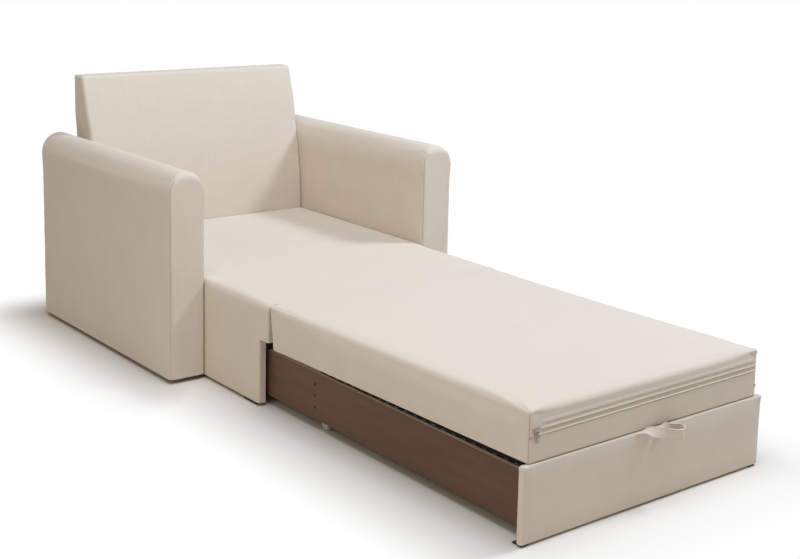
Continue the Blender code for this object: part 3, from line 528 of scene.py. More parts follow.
class Skin:
    """A quad skin in the making: an array of points and faces as rows of point numbers."""

    def __init__(self, points: Array, faces: Array) -> None:
        """Keep one row of X, Y and Z for each point and one of four point numbers for each face."""
        self.points = points
        self.faces = faces

    @classmethod
    def around(cls, xs: Array, ys: Array, zs: Array,
               filled: Callable[[Array, Array, Array], Array] | None = None) -> "Skin":
        """Skin around the filled cells of a grid.

        Args:
            xs: Grid marks across.
            ys: Grid marks along.
            zs: Grid marks upwards.
            filled: Test on the cells' centres; every cell is filled without it.

        Returns:
            The skin, its faces turned outwards.
        """
        middles = np.meshgrid(*[(marks[1:] + marks[:-1]) / 2 for marks in (xs, ys, zs)], indexing="ij")
        solid = np.ones(middles[0].shape, bool) if filled is None else filled(*middles)
        shape = (len(xs), len(ys), len(zs))
        ring = (((0, 0, 0), (0, 1, 0), (0, 1, 1), (0, 0, 1)),
                ((0, 0, 0), (0, 0, 1), (1, 0, 1), (1, 0, 0)),
                ((0, 0, 0), (1, 0, 0), (1, 1, 0), (0, 1, 0)))
        faces = []
        for axis in range(3):
            pad = [(0, 0)] * 3
            pad[axis] = (1, 1)
            room = np.pad(solid, pad)
            before = np.take(room, range(room.shape[axis] - 1), axis)
            after = np.take(room, range(1, room.shape[axis]), axis)
            for picked, turn in ((before & ~after, 1), (after & ~before, -1)):
                cells = np.argwhere(picked)
                corners = [np.ravel_multi_index((cells + step).T, shape) for step in ring[axis]]
                faces.append(np.stack(corners, axis=1)[:, ::turn])
        faces = np.concatenate(faces)
        used, renumbered = np.unique(faces, return_inverse=True)
        points = np.stack(np.meshgrid(xs, ys, zs, indexing="ij"), axis=-1).reshape(-1, 3)
        return cls(points[used].astype(float), renumbered.reshape(faces.shape))

    def centres(self) -> Array:
        """Middle of each face."""
        return self.points[self.faces].mean(axis=1)

    def drop(self, unwanted: Array) -> None:
        """Take faces out, with the points that only they used.

        Args:
            unwanted: One flag for each face.
        """
        kept = self.faces[~unwanted]
        used, renumbered = np.unique(kept, return_inverse=True)
        self.points = self.points[used]
        self.faces = renumbered.reshape(kept.shape)

    def round_edges(self, low: Sequence[float], high: Sequence[float], radius: Array | float) -> None:
        """Round the edges of a box between two corners.

        Args:
            low: Lowest corner, minus infinity on an axis whose low side stays square.
            high: Highest corner, infinity on an axis whose high side stays square.
            radius: Radius of the edges, one for all or one for each point.
        """
        inward = np.broadcast_to(np.asarray(radius, float), len(self.points))[:, None]
        core = np.clip(self.points, np.array(low) + inward, np.array(high) - inward)
        offset = self.points - core
        length = np.linalg.norm(offset, axis=1)
        reach = np.abs(offset).max(axis=1)
        self.points = core + offset * ratio(reach, length, 1.0)[:, None]

    def relax(self, chosen: Array, rounds: int, share: float = 0.5) -> None:
        """Ease chosen points towards the middle of their neighbours.

        Args:
            chosen: One flag for each point.
            rounds: Number of passes.
            share: Part of the way that a point moves in a pass.
        """
        ends = np.concatenate([self.faces[:, [side, (side + 1) % 4]] for side in range(4)])
        ends = np.unique(np.sort(ends, axis=1), axis=0)
        for _ in range(rounds):
            total = np.zeros_like(self.points)
            count = np.zeros(len(self.points))
            for first, second in ((0, 1), (1, 0)):
                np.add.at(total, ends[:, first], self.points[ends[:, second]])
                np.add.at(count, ends[:, first], 1)
            middle = total / np.maximum(count, 1)[:, None]
            self.points[chosen] += share * (middle - self.points)[chosen]

    def build(self, name: str, finish: Finish) -> Piece:
        """Turn the skin into an object of the scene."""
        return add_mesh(name, self.points, self.faces.tolist(), finish)


def add_mesh(name: str, points: Array, faces: Sequence[Sequence[int]], finish: Finish) -> Piece:
    """Add a smooth shaded mesh object.

    Args:
        name: Name of the piece.
        points: One row of X, Y and Z for each point.
        faces: Point numbers of each face.
        finish: Its material.

    Returns:
        The new object, at the origin.
    """
    mesh = bpy.data.meshes.new(name)
    mesh.from_pydata([tuple(point) for point in points], [], faces)
    mesh.validate()
    mesh.shade_smooth()
    mesh.materials.append(finish)
    item = bpy.data.objects.new(name, mesh)
    bpy.context.scene.collection.objects.link(item)
    return item


def read_points(mesh: bpy.types.Mesh) -> Array:
    """Points of a mesh as an array."""
    flat = np.empty(len(mesh.vertices) * 3)
    mesh.vertices.foreach_get("co", flat)
    return flat.reshape(-1, 3)


def read_normals(mesh: bpy.types.Mesh) -> Array:
    """Point normals of a mesh as an array."""
    flat = np.empty(len(mesh.vertices) * 3)
    mesh.vertices.foreach_get("normal", flat)
    return flat.reshape(-1, 3)


def write_points(item: Piece, points: Array) -> None:
    """Move a mesh object's points."""
    item.data.vertices.foreach_set("co", points.ravel())
    item.data.update()


def refine(item: Piece) -> None:
    """Subdivide a piece once into a smooth surface."""
    change = item.modifiers.new("smooth", "SUBSURF")
    change.levels = 1
    change.render_levels = 1
    graph = bpy.context.evaluated_depsgraph_get()
    mesh = bpy.data.meshes.new_from_object(item.evaluated_get(graph))
    rough = item.data
    item.modifiers.clear()
    item.data = mesh
    bpy.data.meshes.remove(rough)
    mesh.name = item.name
    mesh.shade_smooth()


def node_box(name: str) -> tuple[Vector, Vector]:
    """Lowest and highest corner of a node's solid."""
    low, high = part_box(name)
    return Vector(low), Vector(high)


def surface_tree(item: Piece) -> bvhtree.BVHTree:
    """Search tree of a piece's surface."""
    return bvhtree.BVHTree.FromObject(item, bpy.context.evaluated_depsgraph_get())


def lengths_along(path: Array) -> Array:
    """Distance of each point of a path from its start, along the path."""
    return np.concatenate([[0.0], np.cumsum(np.linalg.norm(np.diff(path, axis=0), axis=1))])


def place_along(path: Array, steps: Array, mark: float) -> Array:
    """Point of a path, or its direction, at a distance from its start."""
    return np.array([np.interp(mark, steps, path[:, axis]) for axis in range(3)])


def wander(place: Sequence[float]) -> float:
    """Smooth repeatable noise about zero at a place."""
    return noise.noise(Vector(place))


@dataclass(frozen=True)
class Filling:
    """A short cloth simulation that lets a padded piece swell against its held seams."""

    pressure: float
    most: float
    frames: int = 20
    quality: int = 5
    mass: float = 0.3
    tension: float = 18.0
    bending: float = 3.0
    damping: float = 20.0
    air_damping: float = 3.0

    def run(self, item: Piece, held: Array, share: Array | None = None) -> None:
        """Fill a piece and keep the result in its mesh.

        Args:
            item: The piece.
            held: One flag for each point that the seams or boards hold.
            share: Part of its swelling that each point keeps, all of it by default.
        """
        start = read_points(item.data)
        group = item.vertex_groups.new(name="held")
        group.add(np.flatnonzero(held).tolist(), 1.0, "REPLACE")
        cloth = item.modifiers.new("filling", "CLOTH")
        settings = cloth.settings
        settings.quality = self.quality
        settings.mass = self.mass
        settings.tension_stiffness = self.tension
        settings.compression_stiffness = self.tension
        settings.shear_stiffness = self.tension / 2
        settings.bending_stiffness = self.bending
        settings.tension_damping = self.damping
        settings.air_damping = self.air_damping
        settings.vertex_group_mass = "held"
        settings.pin_stiffness = 1.0
        settings.use_pressure = True
        settings.uniform_pressure_force = self.pressure
        settings.effector_weights.gravity = 0.0
        cloth.collision_settings.use_collision = False
        cloth.collision_settings.use_self_collision = False
        cloth.point_cache.frame_start = 1
        cloth.point_cache.frame_end = self.frames
        scene = bpy.context.scene
        for frame in range(1, self.frames + 1):
            scene.frame_set(frame)
        shown = item.evaluated_get(bpy.context.evaluated_depsgraph_get())
        moved = read_points(shown.to_mesh()) - start
        shown.to_mesh_clear()
        item.modifiers.remove(cloth)
        item.vertex_groups.remove(group)
        scene.frame_set(1)
        reach = np.linalg.norm(moved, axis=1)
        scale = ratio(self.most * np.tanh(reach / self.most), reach, 0.0)
        if share is not None:
            scale = scale * share
        LOG.info("%s filled: swells %.1f mm at most", item.name, 1000 * (reach * scale).max())
        write_points(item, start + moved * scale[:, None])


@dataclass(frozen=True)
class Crease:
    """How a seam lies in the cloth: depth and half width of its line, height and length of its puckers."""

    depth: float
    width: float
    pucker: float
    wave: float = 0.022


class Seam:
    """A sewn line on a piece, pressed in and puckered once the piece is filled."""

    def __init__(self, corners: Sequence[Point], step: float = 0.0015) -> None:
        """Divide a line into short steps.

        Args:
            corners: Points that the line runs through.
            step: Distance between two steps.
        """
        rows = []
        for first, second in zip(corners, corners[1:]):
            first, second = Vector(first), Vector(second)
            count = max(1, math.ceil((second - first).length / step))
            rows += [first.lerp(second, number / count) for number in range(count)]
        rows.append(Vector(corners[-1]))
        self.rows = rows
        self.tree = kdtree.KDTree(len(rows))
        for number, row in enumerate(rows):
            self.tree.insert(row, number)
        self.tree.balance()
        self.step = step

    def press(self, item: Piece, crease: Crease, salt: float = 0.0, strength: Strength | None = None) -> None:
        """Press the line into a piece.

        Args:
            item: The piece.
            crease: How the seam lies in the cloth.
            salt: Number that makes the puckers of each seam different.
            strength: Share of depth and puckers at a place on the seam, all of them by default.
        """
        points = read_points(item.data)
        normals = read_normals(item.data)
        width = crease.width
        reach = width * 7
        box = np.array(self.rows)
        near = np.all((points > box.min(axis=0) - reach) & (points < box.max(axis=0) + reach), axis=1)
        for number in np.flatnonzero(near):
            _, row, gap = self.tree.find(points[number])
            if gap > reach:
                continue
            along = row * self.step / crease.wave
            ripple = wander((along, gap * 55, salt)) + 0.5 * wander((along * 2.3, gap * 40, salt + 9.1))
            fade = math.exp(-(gap / (3.2 * width)) ** 2) * (1 - math.exp(-(gap / width) ** 2))
            move = crease.pucker * ripple * fade - crease.depth * math.exp(-(gap / width) ** 2)
            if strength is not None:
                move *= strength(self.rows[row])
            points[number] += normals[number] * move
        write_points(item, points)


@dataclass(frozen=True)
class Dent:
    """A soft hollow in a piece, or a soft rise where its depth is negative."""

    offset: Point
    reach: Point
    depth: float

    def press(self, item: Piece, origin: Point, side: Side = Side.RIGHT, share: float = 1.0) -> None:
        """Press the hollow into a piece along its normals.

        Args:
            item: The piece.
            origin: Place on the right side that the offset is counted from.
            side: Side of the chair that the hollow lies on.
            share: Share of the depth that is pressed.
        """
        points = read_points(item.data)
        centre = np.array(origin) + np.array(self.offset)
        centre[0] *= side.value
        away = ((points - centre) / np.array(self.reach)) ** 2
        drop = self.depth * share * np.exp(-away.sum(axis=1))
        write_points(item, points - read_normals(item.data) * drop[:, None])


def grid_faces(rows: int, columns: int, turn: int = 1) -> list[list[int]]:
    """Faces between the points of a grid, counted row by row, turned over where turn is -1."""
    firsts = [row * columns + column for row in range(rows - 1) for column in range(columns - 1)]
    return [[first, first + columns, first + columns + 1, first + 1][::turn] for first in firsts]


def tube_faces(rings: int, sides: int, closed_ends: bool = True) -> list[list[int]]:
    """Faces of a tube, its points counted ring by ring.

    Args:
        rings: Number of rings of points.
        sides: Number of points in a ring.
        closed_ends: Whether the two ends are capped.

    Returns:
        Point numbers of each face.
    """
    faces = []
    for base in range(0, (rings - 1) * sides, sides):
        for corner in range(sides):
            after = (corner + 1) % sides
            faces.append([base + corner, base + after, base + sides + after, base + sides + corner])
    if closed_ends:
        faces.append(list(range(sides))[::-1])
        faces.append([(rings - 1) * sides + corner for corner in range(sides)])
    return faces


def sweep(path: Array, across: Array, outward: Array, section: Sequence[Pair],
          closed_ends: bool = True) -> MeshPart:
    """Sweep a closed section along a path.

    Args:
        path: Points of the path.
        across: Unit vector of the section's first axis at each point.
        outward: Unit vector of the section's second axis at each point.
        section: Corners of the section.
        closed_ends: Whether the two ends are capped.

    Returns:
        Points and faces.
    """
    points = []
    for place, first, second in zip(path, across, outward):
        points += [place + first * u + second * v for u, v in section]
    return np.array(points), tube_faces(len(path), len(section), closed_ends)


def gather(parts: Sequence[MeshPart]) -> MeshPart:
    """Put several meshes into one.

    Args:
        parts: Points and faces of each.

    Returns:
        Points and faces of all.
    """
    points, faces, shift = [], [], 0
    for some_points, some_faces in parts:
        points.append(some_points)
        faces += [[corner + shift for corner in face] for face in some_faces]
        shift += len(some_points)
    return np.concatenate(points), faces


@dataclass(frozen=True)
class Stitching:
    """A way of sewing: pitch and length of the stitches and radius of their thread."""

    pitch: float
    length: float
    radius: float
    sides: int = 5

    def stitch(self, middle: Array, along: Array, outward: Array) -> MeshPart:
        """One stitch: a short spindle of thread that dives into the cloth at both ends.

        Args:
            middle: Place on the cloth.
            along: Unit vector along the seam.
            outward: Unit vector out of the cloth.

        Returns:
            Points and faces.
        """
        side = np.cross(along, outward)
        stations = ((-0.5, -0.6, 0.35), (-0.28, 0.25, 1.0), (0.28, 0.25, 1.0), (0.5, -0.6, 0.35))
        turns = np.arange(self.sides) * 2 * math.pi / self.sides
        points = []
        for share, rise, girth in stations:
            centre = middle + along * share * self.length + outward * rise * self.radius
            points += [centre + (side * math.cos(turn) + outward * math.sin(turn)) * self.radius * girth
                       for turn in turns]
        return np.array(points), tube_faces(len(stations), self.sides)


def turn_outwards(item: Piece, weld: float = 0.0) -> None:
    """Turn all the faces of a piece outwards.

    Args:
        item: The piece.
        weld: Distance within which points are joined first, if they are.
    """
    form = bmesh.new()
    form.from_mesh(item.data)
    if weld > 0:
        bmesh.ops.remove_doubles(form, verts=form.verts[:], dist=weld)
    bmesh.ops.recalc_face_normals(form, faces=form.faces[:])
    form.to_mesh(item.data)
    form.free()


def sewn_row(item: Piece, word: str, line: Sequence[Point], finish: Finish, body: Body,
             strength: Strength | None = None,
             sewing: Stitching = Stitching(0.0046, 0.0043, 0.00055)) -> None:
    """Sew a row of stitches along a seam of a filled piece.

    Args:
        item: The filled piece.
        word: Name of the row.
        line: Corners of the seam.
        finish: Finish of the thread.
        body: Body that carries the piece.
        strength: How strongly the seam shows at a place; stitches stand where it is over a half.
        sewing: Way of sewing.
    """
    margin, probe = 0.003, 0.001
    tree = surface_tree(item)
    path = np.array(line)
    steps = lengths_along(path)
    parts = []
    for mark in np.arange(margin, steps[-1], sewing.pitch):
        start, stop = (Vector(place_along(path, steps, mark + shift)) for shift in (-probe, probe))
        place, out = tree.find_nearest((start + stop) / 2)[:2]
        if strength is None or strength(place) > 0.5:
            along = (stop - start).cross(out).normalized()
            parts.append(sewing.stitch(np.array(place), np.array(out.cross(along)), np.array(out)))
    settle(add_mesh(word, *gather(parts), finish), body)


def settle(item: Piece, body: Body, replaced: Sequence[str] = ()) -> None:
    """Let a finished piece ride on a body and stand for its solids.

    Args:
        item: The piece.
        body: Body that carries it.
        replaced: Nodes that it stands for.
    """
    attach(item, body.value)
    if replaced:
        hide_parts(*replaced)
    LOG.info("%s on %s, %d points", item.name, body.value, len(item.data.vertices))


def joint_ease(distance: Array | float) -> Array | float:
    """How far the seat's top sinks and the mattress's top rises at a distance from their joint."""
    share = np.clip(1 - distance / JOINT_FADE, 0.0, 1.0)
    return JOINT_STEP / 2 * smooth_share(share)


# Chair
@dataclass
class Arm:
    """A block arm with a half round top, its cloth sewn round a flat front and a flat rear panel."""

    side: Side
    finishes: Finishes
    edge: float = 0.009
    crown_edge: float = 0.022
    rear_edge: float = 0.006
    cell: float = 0.013
    end_fade: float = 0.05
    rim_fade: float = 0.02
    bulge: float = 0.0022
    bulge_drop: float = 0.012
    bulge_reach: float = 0.035
    filling: Filling = Filling(1.2, 0.0028)
    front_crease: Crease = Crease(0.0027, 0.0022, 0.0024, 0.017)
    rear_crease: Crease = Crease(0.0012, 0.0022, 0.0009)

    def __post_init__(self) -> None:
        """Take the arm's box from its solid."""
        self.low, self.high = node_box(f"arm_{self.side.word}_cover")

    @property
    def radius(self) -> float:
        """Radius of the half round top."""
        return (self.high.x - self.low.x) / 2

    @property
    def centre(self) -> float:
        """X of the arm's middle plane."""
        return (self.high.x + self.low.x) / 2

    @property
    def spring(self) -> float:
        """Height at which the half round top begins."""
        return self.high.z - self.radius

    def edge_radius(self, lift: Array, front: Array) -> Array:
        """Radius of an end's sewn edge, softest over the top of the front; lift is 1 on top."""
        soft = self.edge + (self.crown_edge - self.edge) * np.clip(lift, 0.0, 1.0) ** 2
        return np.where(front, soft, self.rear_edge)

    def skin(self) -> Skin:
        """Draw the arm's cloth, open underneath, before it is filled."""
        radius, edge = self.radius, self.edge
        near = eased(edge)
        xs = spaced(-radius, radius, self.cell * 0.8, near, near)
        ys = spaced(self.low.y, self.high.y, self.cell, near, near)
        zs = np.concatenate([spaced(self.low.z, self.spring, self.cell, (0.004,))[:-1],
                             spaced(self.spring, self.high.z, self.cell * 0.7, (), near)])
        skin = Skin.around(xs, ys, zs)
        skin.drop(skin.centres()[:, 2] < self.low.z + TOUCH)
        x, y, z = skin.points.T
        rise = np.maximum(z - self.spring, 0.0)
        square = np.maximum(np.abs(x), rise)
        scale = np.where(rise > TINY, ratio(square, np.hypot(x, rise), 1.0), 1.0)
        x *= scale
        rise = rise * scale
        spread = np.where(rise > TINY, np.hypot(x, rise), np.abs(x))
        front = y < (self.low.y + self.high.y) / 2
        soft = self.edge_radius(ratio(rise, spread, 0.0), front)
        from_end = stretched(np.minimum(y - self.low.y, self.high.y - y), edge, soft, self.end_fade)
        from_rim = stretched(radius - spread, edge, soft, self.rim_fade)
        into, back = soft - from_rim, soft - from_end
        corner = (into > 0) & (back > 0)
        reach = np.maximum(into, back) / np.hypot(into, back)
        new_spread = radius - np.where(corner, soft - into * reach, from_rim)
        new_end = np.where(corner, soft - back * reach, from_end)
        factor = ratio(new_spread, spread, 1.0)
        x *= factor
        z[:] = np.where(rise > TINY, self.spring + rise * factor, z)
        y[:] = np.where(front, self.low.y + new_end, self.high.y - new_end)
        swell = self.bulge * np.exp(-((z - self.spring + self.bulge_drop) / self.bulge_reach) ** 2)
        x *= 1 + swell / radius
        x += self.centre
        return skin

    def seam_line(self, front: bool) -> list[Point]:
        """Line of the sewn edge of an end panel.

        Args:
            front: Whether it is the front panel.

        Returns:
            Points from the outer hem over the top to the inner hem.
        """
        line = []
        for step in range(-8, 33):
            turn = math.pi * min(max(step, 0), 24) / 24
            down = max(-step, step - 24, 0) / 8
            inset = float(self.edge_radius(np.array(math.sin(turn)), np.array(front))) * EDGE_MIDDLE
            girth = self.radius - inset
            height = self.spring + girth * math.sin(turn) - down * (self.spring - self.low.z)
            y = self.low.y + inset if front else self.high.y - inset
            line.append((self.centre - girth * math.cos(turn), y, height))
        return line

    def seam_strength(self, place: Vector) -> float:
        """How strongly the front seam shows: most at the spring of the round top, hardly over it."""
        rise = (place.z - self.spring) / self.radius
        over = min(max((rise - 0.45) / 0.45, 0.0), 1.0)
        return (0.60 + 0.40 * math.exp(-((rise - 0.15) / 0.6) ** 2)) * (1 - 0.85 * over)

    def held(self, points: Array) -> Array:
        """Points that hems, seams and the neighbouring cushions hold.

        Args:
            points: Points of the skin.

        Returns:
            One flag for each point.
        """
        x, y, z = points.T
        margin = 0.006
        inner = (x - self.centre) * -self.side.value > self.radius * 0.55
        seat_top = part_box("seat_cover")[1][2]
        back_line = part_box("seat_cover")[1][1]
        against = inner & ((z < seat_top + margin) | (y > back_line - 0.01))
        front = y < (self.low.y + self.high.y) / 2
        soft = self.edge_radius((z - self.spring) / self.radius, front)
        from_end = np.minimum(y - self.low.y, self.high.y - y)
        sewn = np.abs(from_end - soft * EDGE_MIDDLE) < soft * 0.3
        return against | sewn | (z < self.low.z + margin)

    def build(self) -> None:
        """Make, fill and sew the arm."""
        name = f"arm_{self.side.word}"
        skin = self.skin()
        item = skin.build(f"{name}_pad", self.finishes.linen)
        self.filling.run(item, self.held(skin.points))
        refine(item)
        salt = 3.0 * self.side.value
        Seam(self.seam_line(True)).press(item, self.front_crease, salt, self.seam_strength)
        Seam(self.seam_line(False)).press(item, self.rear_crease, salt + 1.3)
        # The seam's stitches are real; their dark thread is painted shade in the groove.
        sewn_row(item, f"{name}_seam", self.seam_line(True), self.finishes.seam_thread, Body.CHAIR,
                 self.seam_strength)
        settle(item, Body.CHAIR, (f"{name}_cover", f"{name}_foam"))


@dataclass
class Backrest:
    """A wedge cushion: upright behind, leaning and crowned in front."""

    finishes: Finishes
    edge: float = 0.009
    rear_edge: float = 0.005
    cell: float = 0.014
    lean: float = 0.096
    lean_power: float = 1.75
    seat_gap: float = 0.001
    rear_reach: float = 0.03
    spread: float = 0.0045
    spread_from: float = 0.60
    spread_rise: float = 0.06
    filling: Filling = Filling(0.9, 0.004)
    side_crease: Crease = Crease(0.0005, 0.0022, 0.0006, 0.035)
    top_crease: Crease = Crease(0.0006, 0.0022, 0.0005, 0.04)

    def __post_init__(self) -> None:
        """Take the backrest's box from its solid."""
        self.low, self.high = node_box("back_cover")
        self.seat_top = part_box("seat_cover")[1][2]
        self.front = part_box("seat_cover")[1][1] + self.seat_gap

    def forward(self, heights: Array) -> Array:
        """How far the front face leans back at each height."""
        share = np.clip((heights - self.seat_top) / (self.high.z - self.seat_top), 0.0, 1.0)
        return self.lean * share ** self.lean_power

    def wider(self, heights: Array) -> Array:
        """How much each side stands out at each height, above the arms."""
        return self.spread * np.clip((heights - self.spread_from) / self.spread_rise, 0.0, 1.0)

    def skin(self) -> Skin:
        """Draw the backrest's cloth, open underneath, before it is filled."""
        near, rear = eased(self.edge), eased(self.rear_edge, 3)
        xs = spaced(self.low.x, self.high.x, self.cell, near, near)
        ys = spaced(self.front, self.high.y, self.cell, near, rear)
        zs = spaced(self.low.z, self.high.z, self.cell, (0.004,), near)
        skin = Skin.around(xs, ys, zs)
        skin.drop(skin.centres()[:, 2] < self.low.z + TOUCH)
        share = np.clip((self.high.y - skin.points[:, 1]) / self.rear_reach, 0.0, 1.0)
        radius = self.rear_edge + (self.edge - self.rear_edge) * share
        skin.round_edges((self.low.x, self.front, -FREE), (self.high.x, self.high.y, self.high.z), radius)
        x, y, z = skin.points.T
        depth = self.high.y - self.front
        share = np.clip((self.high.y - y - self.edge) / (depth - 2 * self.edge), 0.0, 1.0)
        y += self.forward(z) * share
        x *= 1 + self.wider(z) / self.high.x
        return skin

    def held(self, points: Array) -> Array:
        """Points that the board behind, the edge seams, the arms and the seat hold.

        Args:
            points: Points of the skin.

        Returns:
            One flag for each point.
        """
        x, y, z = points.T
        rim = self.edge * 1.2
        sewn = (np.abs(x) > self.high.x - rim) | (z > self.high.z - rim)
        return sewn | (y > self.high.y - 0.002) | (z < self.seat_top - 0.01)

    def build(self) -> None:
        """Make, fill and sew the backrest."""
        skin = self.skin()
        item = skin.build("back_pad", self.finishes.linen)
        self.filling.run(item, self.held(skin.points))
        refine(item)
        self.sew(item)
        settle(item, Body.CHAIR, ("back_cover", "back_foam"))

    def sew(self, item: Piece) -> None:
        """Press the seams along the side edges and the top rear edge.

        Args:
            item: The filled backrest.
        """
        inset = self.edge * EDGE_MIDDLE
        heights = np.linspace(self.seat_top, self.high.z - self.edge, 24)
        leans = self.forward(heights)
        for side in Side:
            xs = side.value * (self.high.x - inset + self.wider(heights))
            line = [(x, self.front + inset + lean, height) for x, height, lean in zip(xs, heights, leans)]
            Seam(line).press(item, self.side_crease, 5.0 + side.value)
        inset = self.rear_edge * EDGE_MIDDLE
        rear = self.high.y - inset
        low_x = self.high.x - self.edge
        top = [(-low_x, rear, self.high.z - inset), (low_x, rear, self.high.z - inset)]
        Seam(top).press(item, self.top_crease, 7.7)


@dataclass
class Seat:
    """Seat cushion with a front overhang, its sides carried on down as skirts over the base boards."""

    finishes: Finishes
    edge: float = 0.021
    tucked_edge: float = 0.011
    front_edge: float = 0.004
    cell: float = 0.014
    notch_height: float = 0.1858
    skirt_front: float = -0.0358
    board: float = 0.0206
    hem: float = 0.005
    top_drop: float = 0.0012
    crown: float = 0.0012
    arm_margin: float = 0.02
    arm_fade: float = 0.06
    joint_reach: float = 0.25
    filling: Filling = Filling(0.7, 0.003)
    tuck_marks: tuple[Pair, ...] = ((-0.034, 0.006), (-0.004, 0.003), (0.014, 0.008))
    fold_shift: float = 0.0025
    tuck_crease: Crease = Crease(0.0014, 0.0030, 0.0016, 0.014)
    fold_crease: Crease = Crease(0.0004, 0.0030, 0.0010, 0.03)

    def __post_init__(self) -> None:
        """Take the seat's box and the arms' front from the solids."""
        self.low, self.high = node_box("seat_cover")
        self.top = self.high.z - self.top_drop
        self.arm_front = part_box("arm_left_cover")[0][1]

    def edge_radius(self, ys: Array) -> Array:
        """Radius of the upper side edges: soft before the arms, tucked in between them."""
        exposed = np.clip((self.arm_front + self.arm_margin - ys) / self.arm_fade, 0.0, 1.0)
        return self.tucked_edge + (self.edge - self.tucked_edge) * exposed

    def skin(self) -> Skin:
        """Draw the seat's cloth before it is filled."""
        near = eased(self.edge, 6)
        joint = eased(self.front_edge, 3) + [0.012, 0.022, 0.032]
        fine = (0.0025, 0.006)
        inner = self.high.x - self.board
        xs = np.concatenate([spaced(-self.high.x, -inner, self.cell, near[:5])[:-1],
                             spaced(-inner, inner, self.cell),
                             spaced(inner, self.high.x, self.cell, (), near[:5])[1:]])
        ys = np.concatenate([spaced(self.low.y, self.skirt_front, self.cell, joint, fine)[:-1],
                             spaced(self.skirt_front, self.high.y, self.cell, fine)])
        zs = np.concatenate([spaced(self.low.z, self.notch_height, self.cell, (0.003,), fine)[:-1],
                             spaced(self.notch_height, self.top, self.cell, fine, near)])
        skin = Skin.around(xs, ys, zs, lambda x, y, z: (z > self.notch_height)
                           | ((np.abs(x) > inner) & (y > self.skirt_front)))
        x, y, z = skin.centres().T
        underside = (np.abs(z - self.notch_height) < TOUCH) & (y > self.skirt_front + TOUCH)
        lining = (np.abs(np.abs(x) - inner) < TOUCH) & (z < self.notch_height)
        bottom = (z < self.low.z + TOUCH) & (np.abs(x) < self.high.x - self.hem)
        skin.drop(underside | lining | bottom)
        skin.round_edges((self.low.x, -FREE, -FREE), (self.high.x, FREE, self.top),
                         self.edge_radius(skin.points[:, 1]))
        skin.round_edges((-FREE, self.low.y, -FREE), (FREE, FREE, self.top), self.front_edge)
        skin.round_edges((self.low.x, self.low.y, -FREE), (self.high.x, FREE, FREE), self.front_edge)
        x, y, z = skin.points.T
        reach, past = 0.0045, 0.002
        from_notch, from_skirt = z - self.notch_height, y - self.skirt_front
        corner_low = (np.abs(from_notch) < reach) & (from_skirt < past)
        corner_front = (np.abs(from_skirt) < reach) & (from_notch < past)
        skin.relax(corner_low | (corner_front & (np.abs(x) > inner + TOUCH)), 2)
        along = (2 * y - self.low.y - self.high.y) / (self.high.y - self.low.y)
        crown = np.maximum(0.0, (1 - (x / self.high.x) ** 2) * (1 - along ** 4))
        upper = np.clip((z - self.top + self.edge) / self.edge, 0.0, 1.0)
        z += (self.crown * crown - joint_ease(y - self.low.y)) * upper
        return skin

    def held(self, points: Array) -> Array:
        """Points that boards, arms, backrest and hinge hold.

        Args:
            points: Points of the skin.

        Returns:
            One flag for each point.
        """
        x, y, z = points.T
        outer = np.abs(x) > self.high.x - self.tucked_edge - 0.001
        between = outer & (y > self.arm_front - 0.012)
        skirts = z < self.notch_height + 0.008
        return between | skirts | (y < self.low.y + 0.02) | (y > self.high.y - 0.002)

    def build(self) -> None:
        """Make, fill and sew the seat."""
        skin = self.skin()
        item = skin.build("seat_pad", self.finishes.linen)
        share = np.clip((skin.points[:, 1] - self.low.y) / self.joint_reach, 0.0, 1.0)
        self.filling.run(item, self.held(skin.points), share)
        refine(item)
        for side in Side:
            x = side.value * (self.high.x - 0.001)
            tuck = [(x, self.skirt_front + back, self.notch_height + up) for back, up in self.tuck_marks]
            Seam(tuck).press(item, self.tuck_crease, 11.0 + side.value)
            y = self.skirt_front + self.fold_shift
            fold = [(x, y, self.low.z + 0.004), (x, y, self.notch_height)]
            Seam(fold).press(item, self.fold_crease, 13.0 + side.value)
        settle(item, Body.CHAIR, ("seat_cover", "seat_foam"))


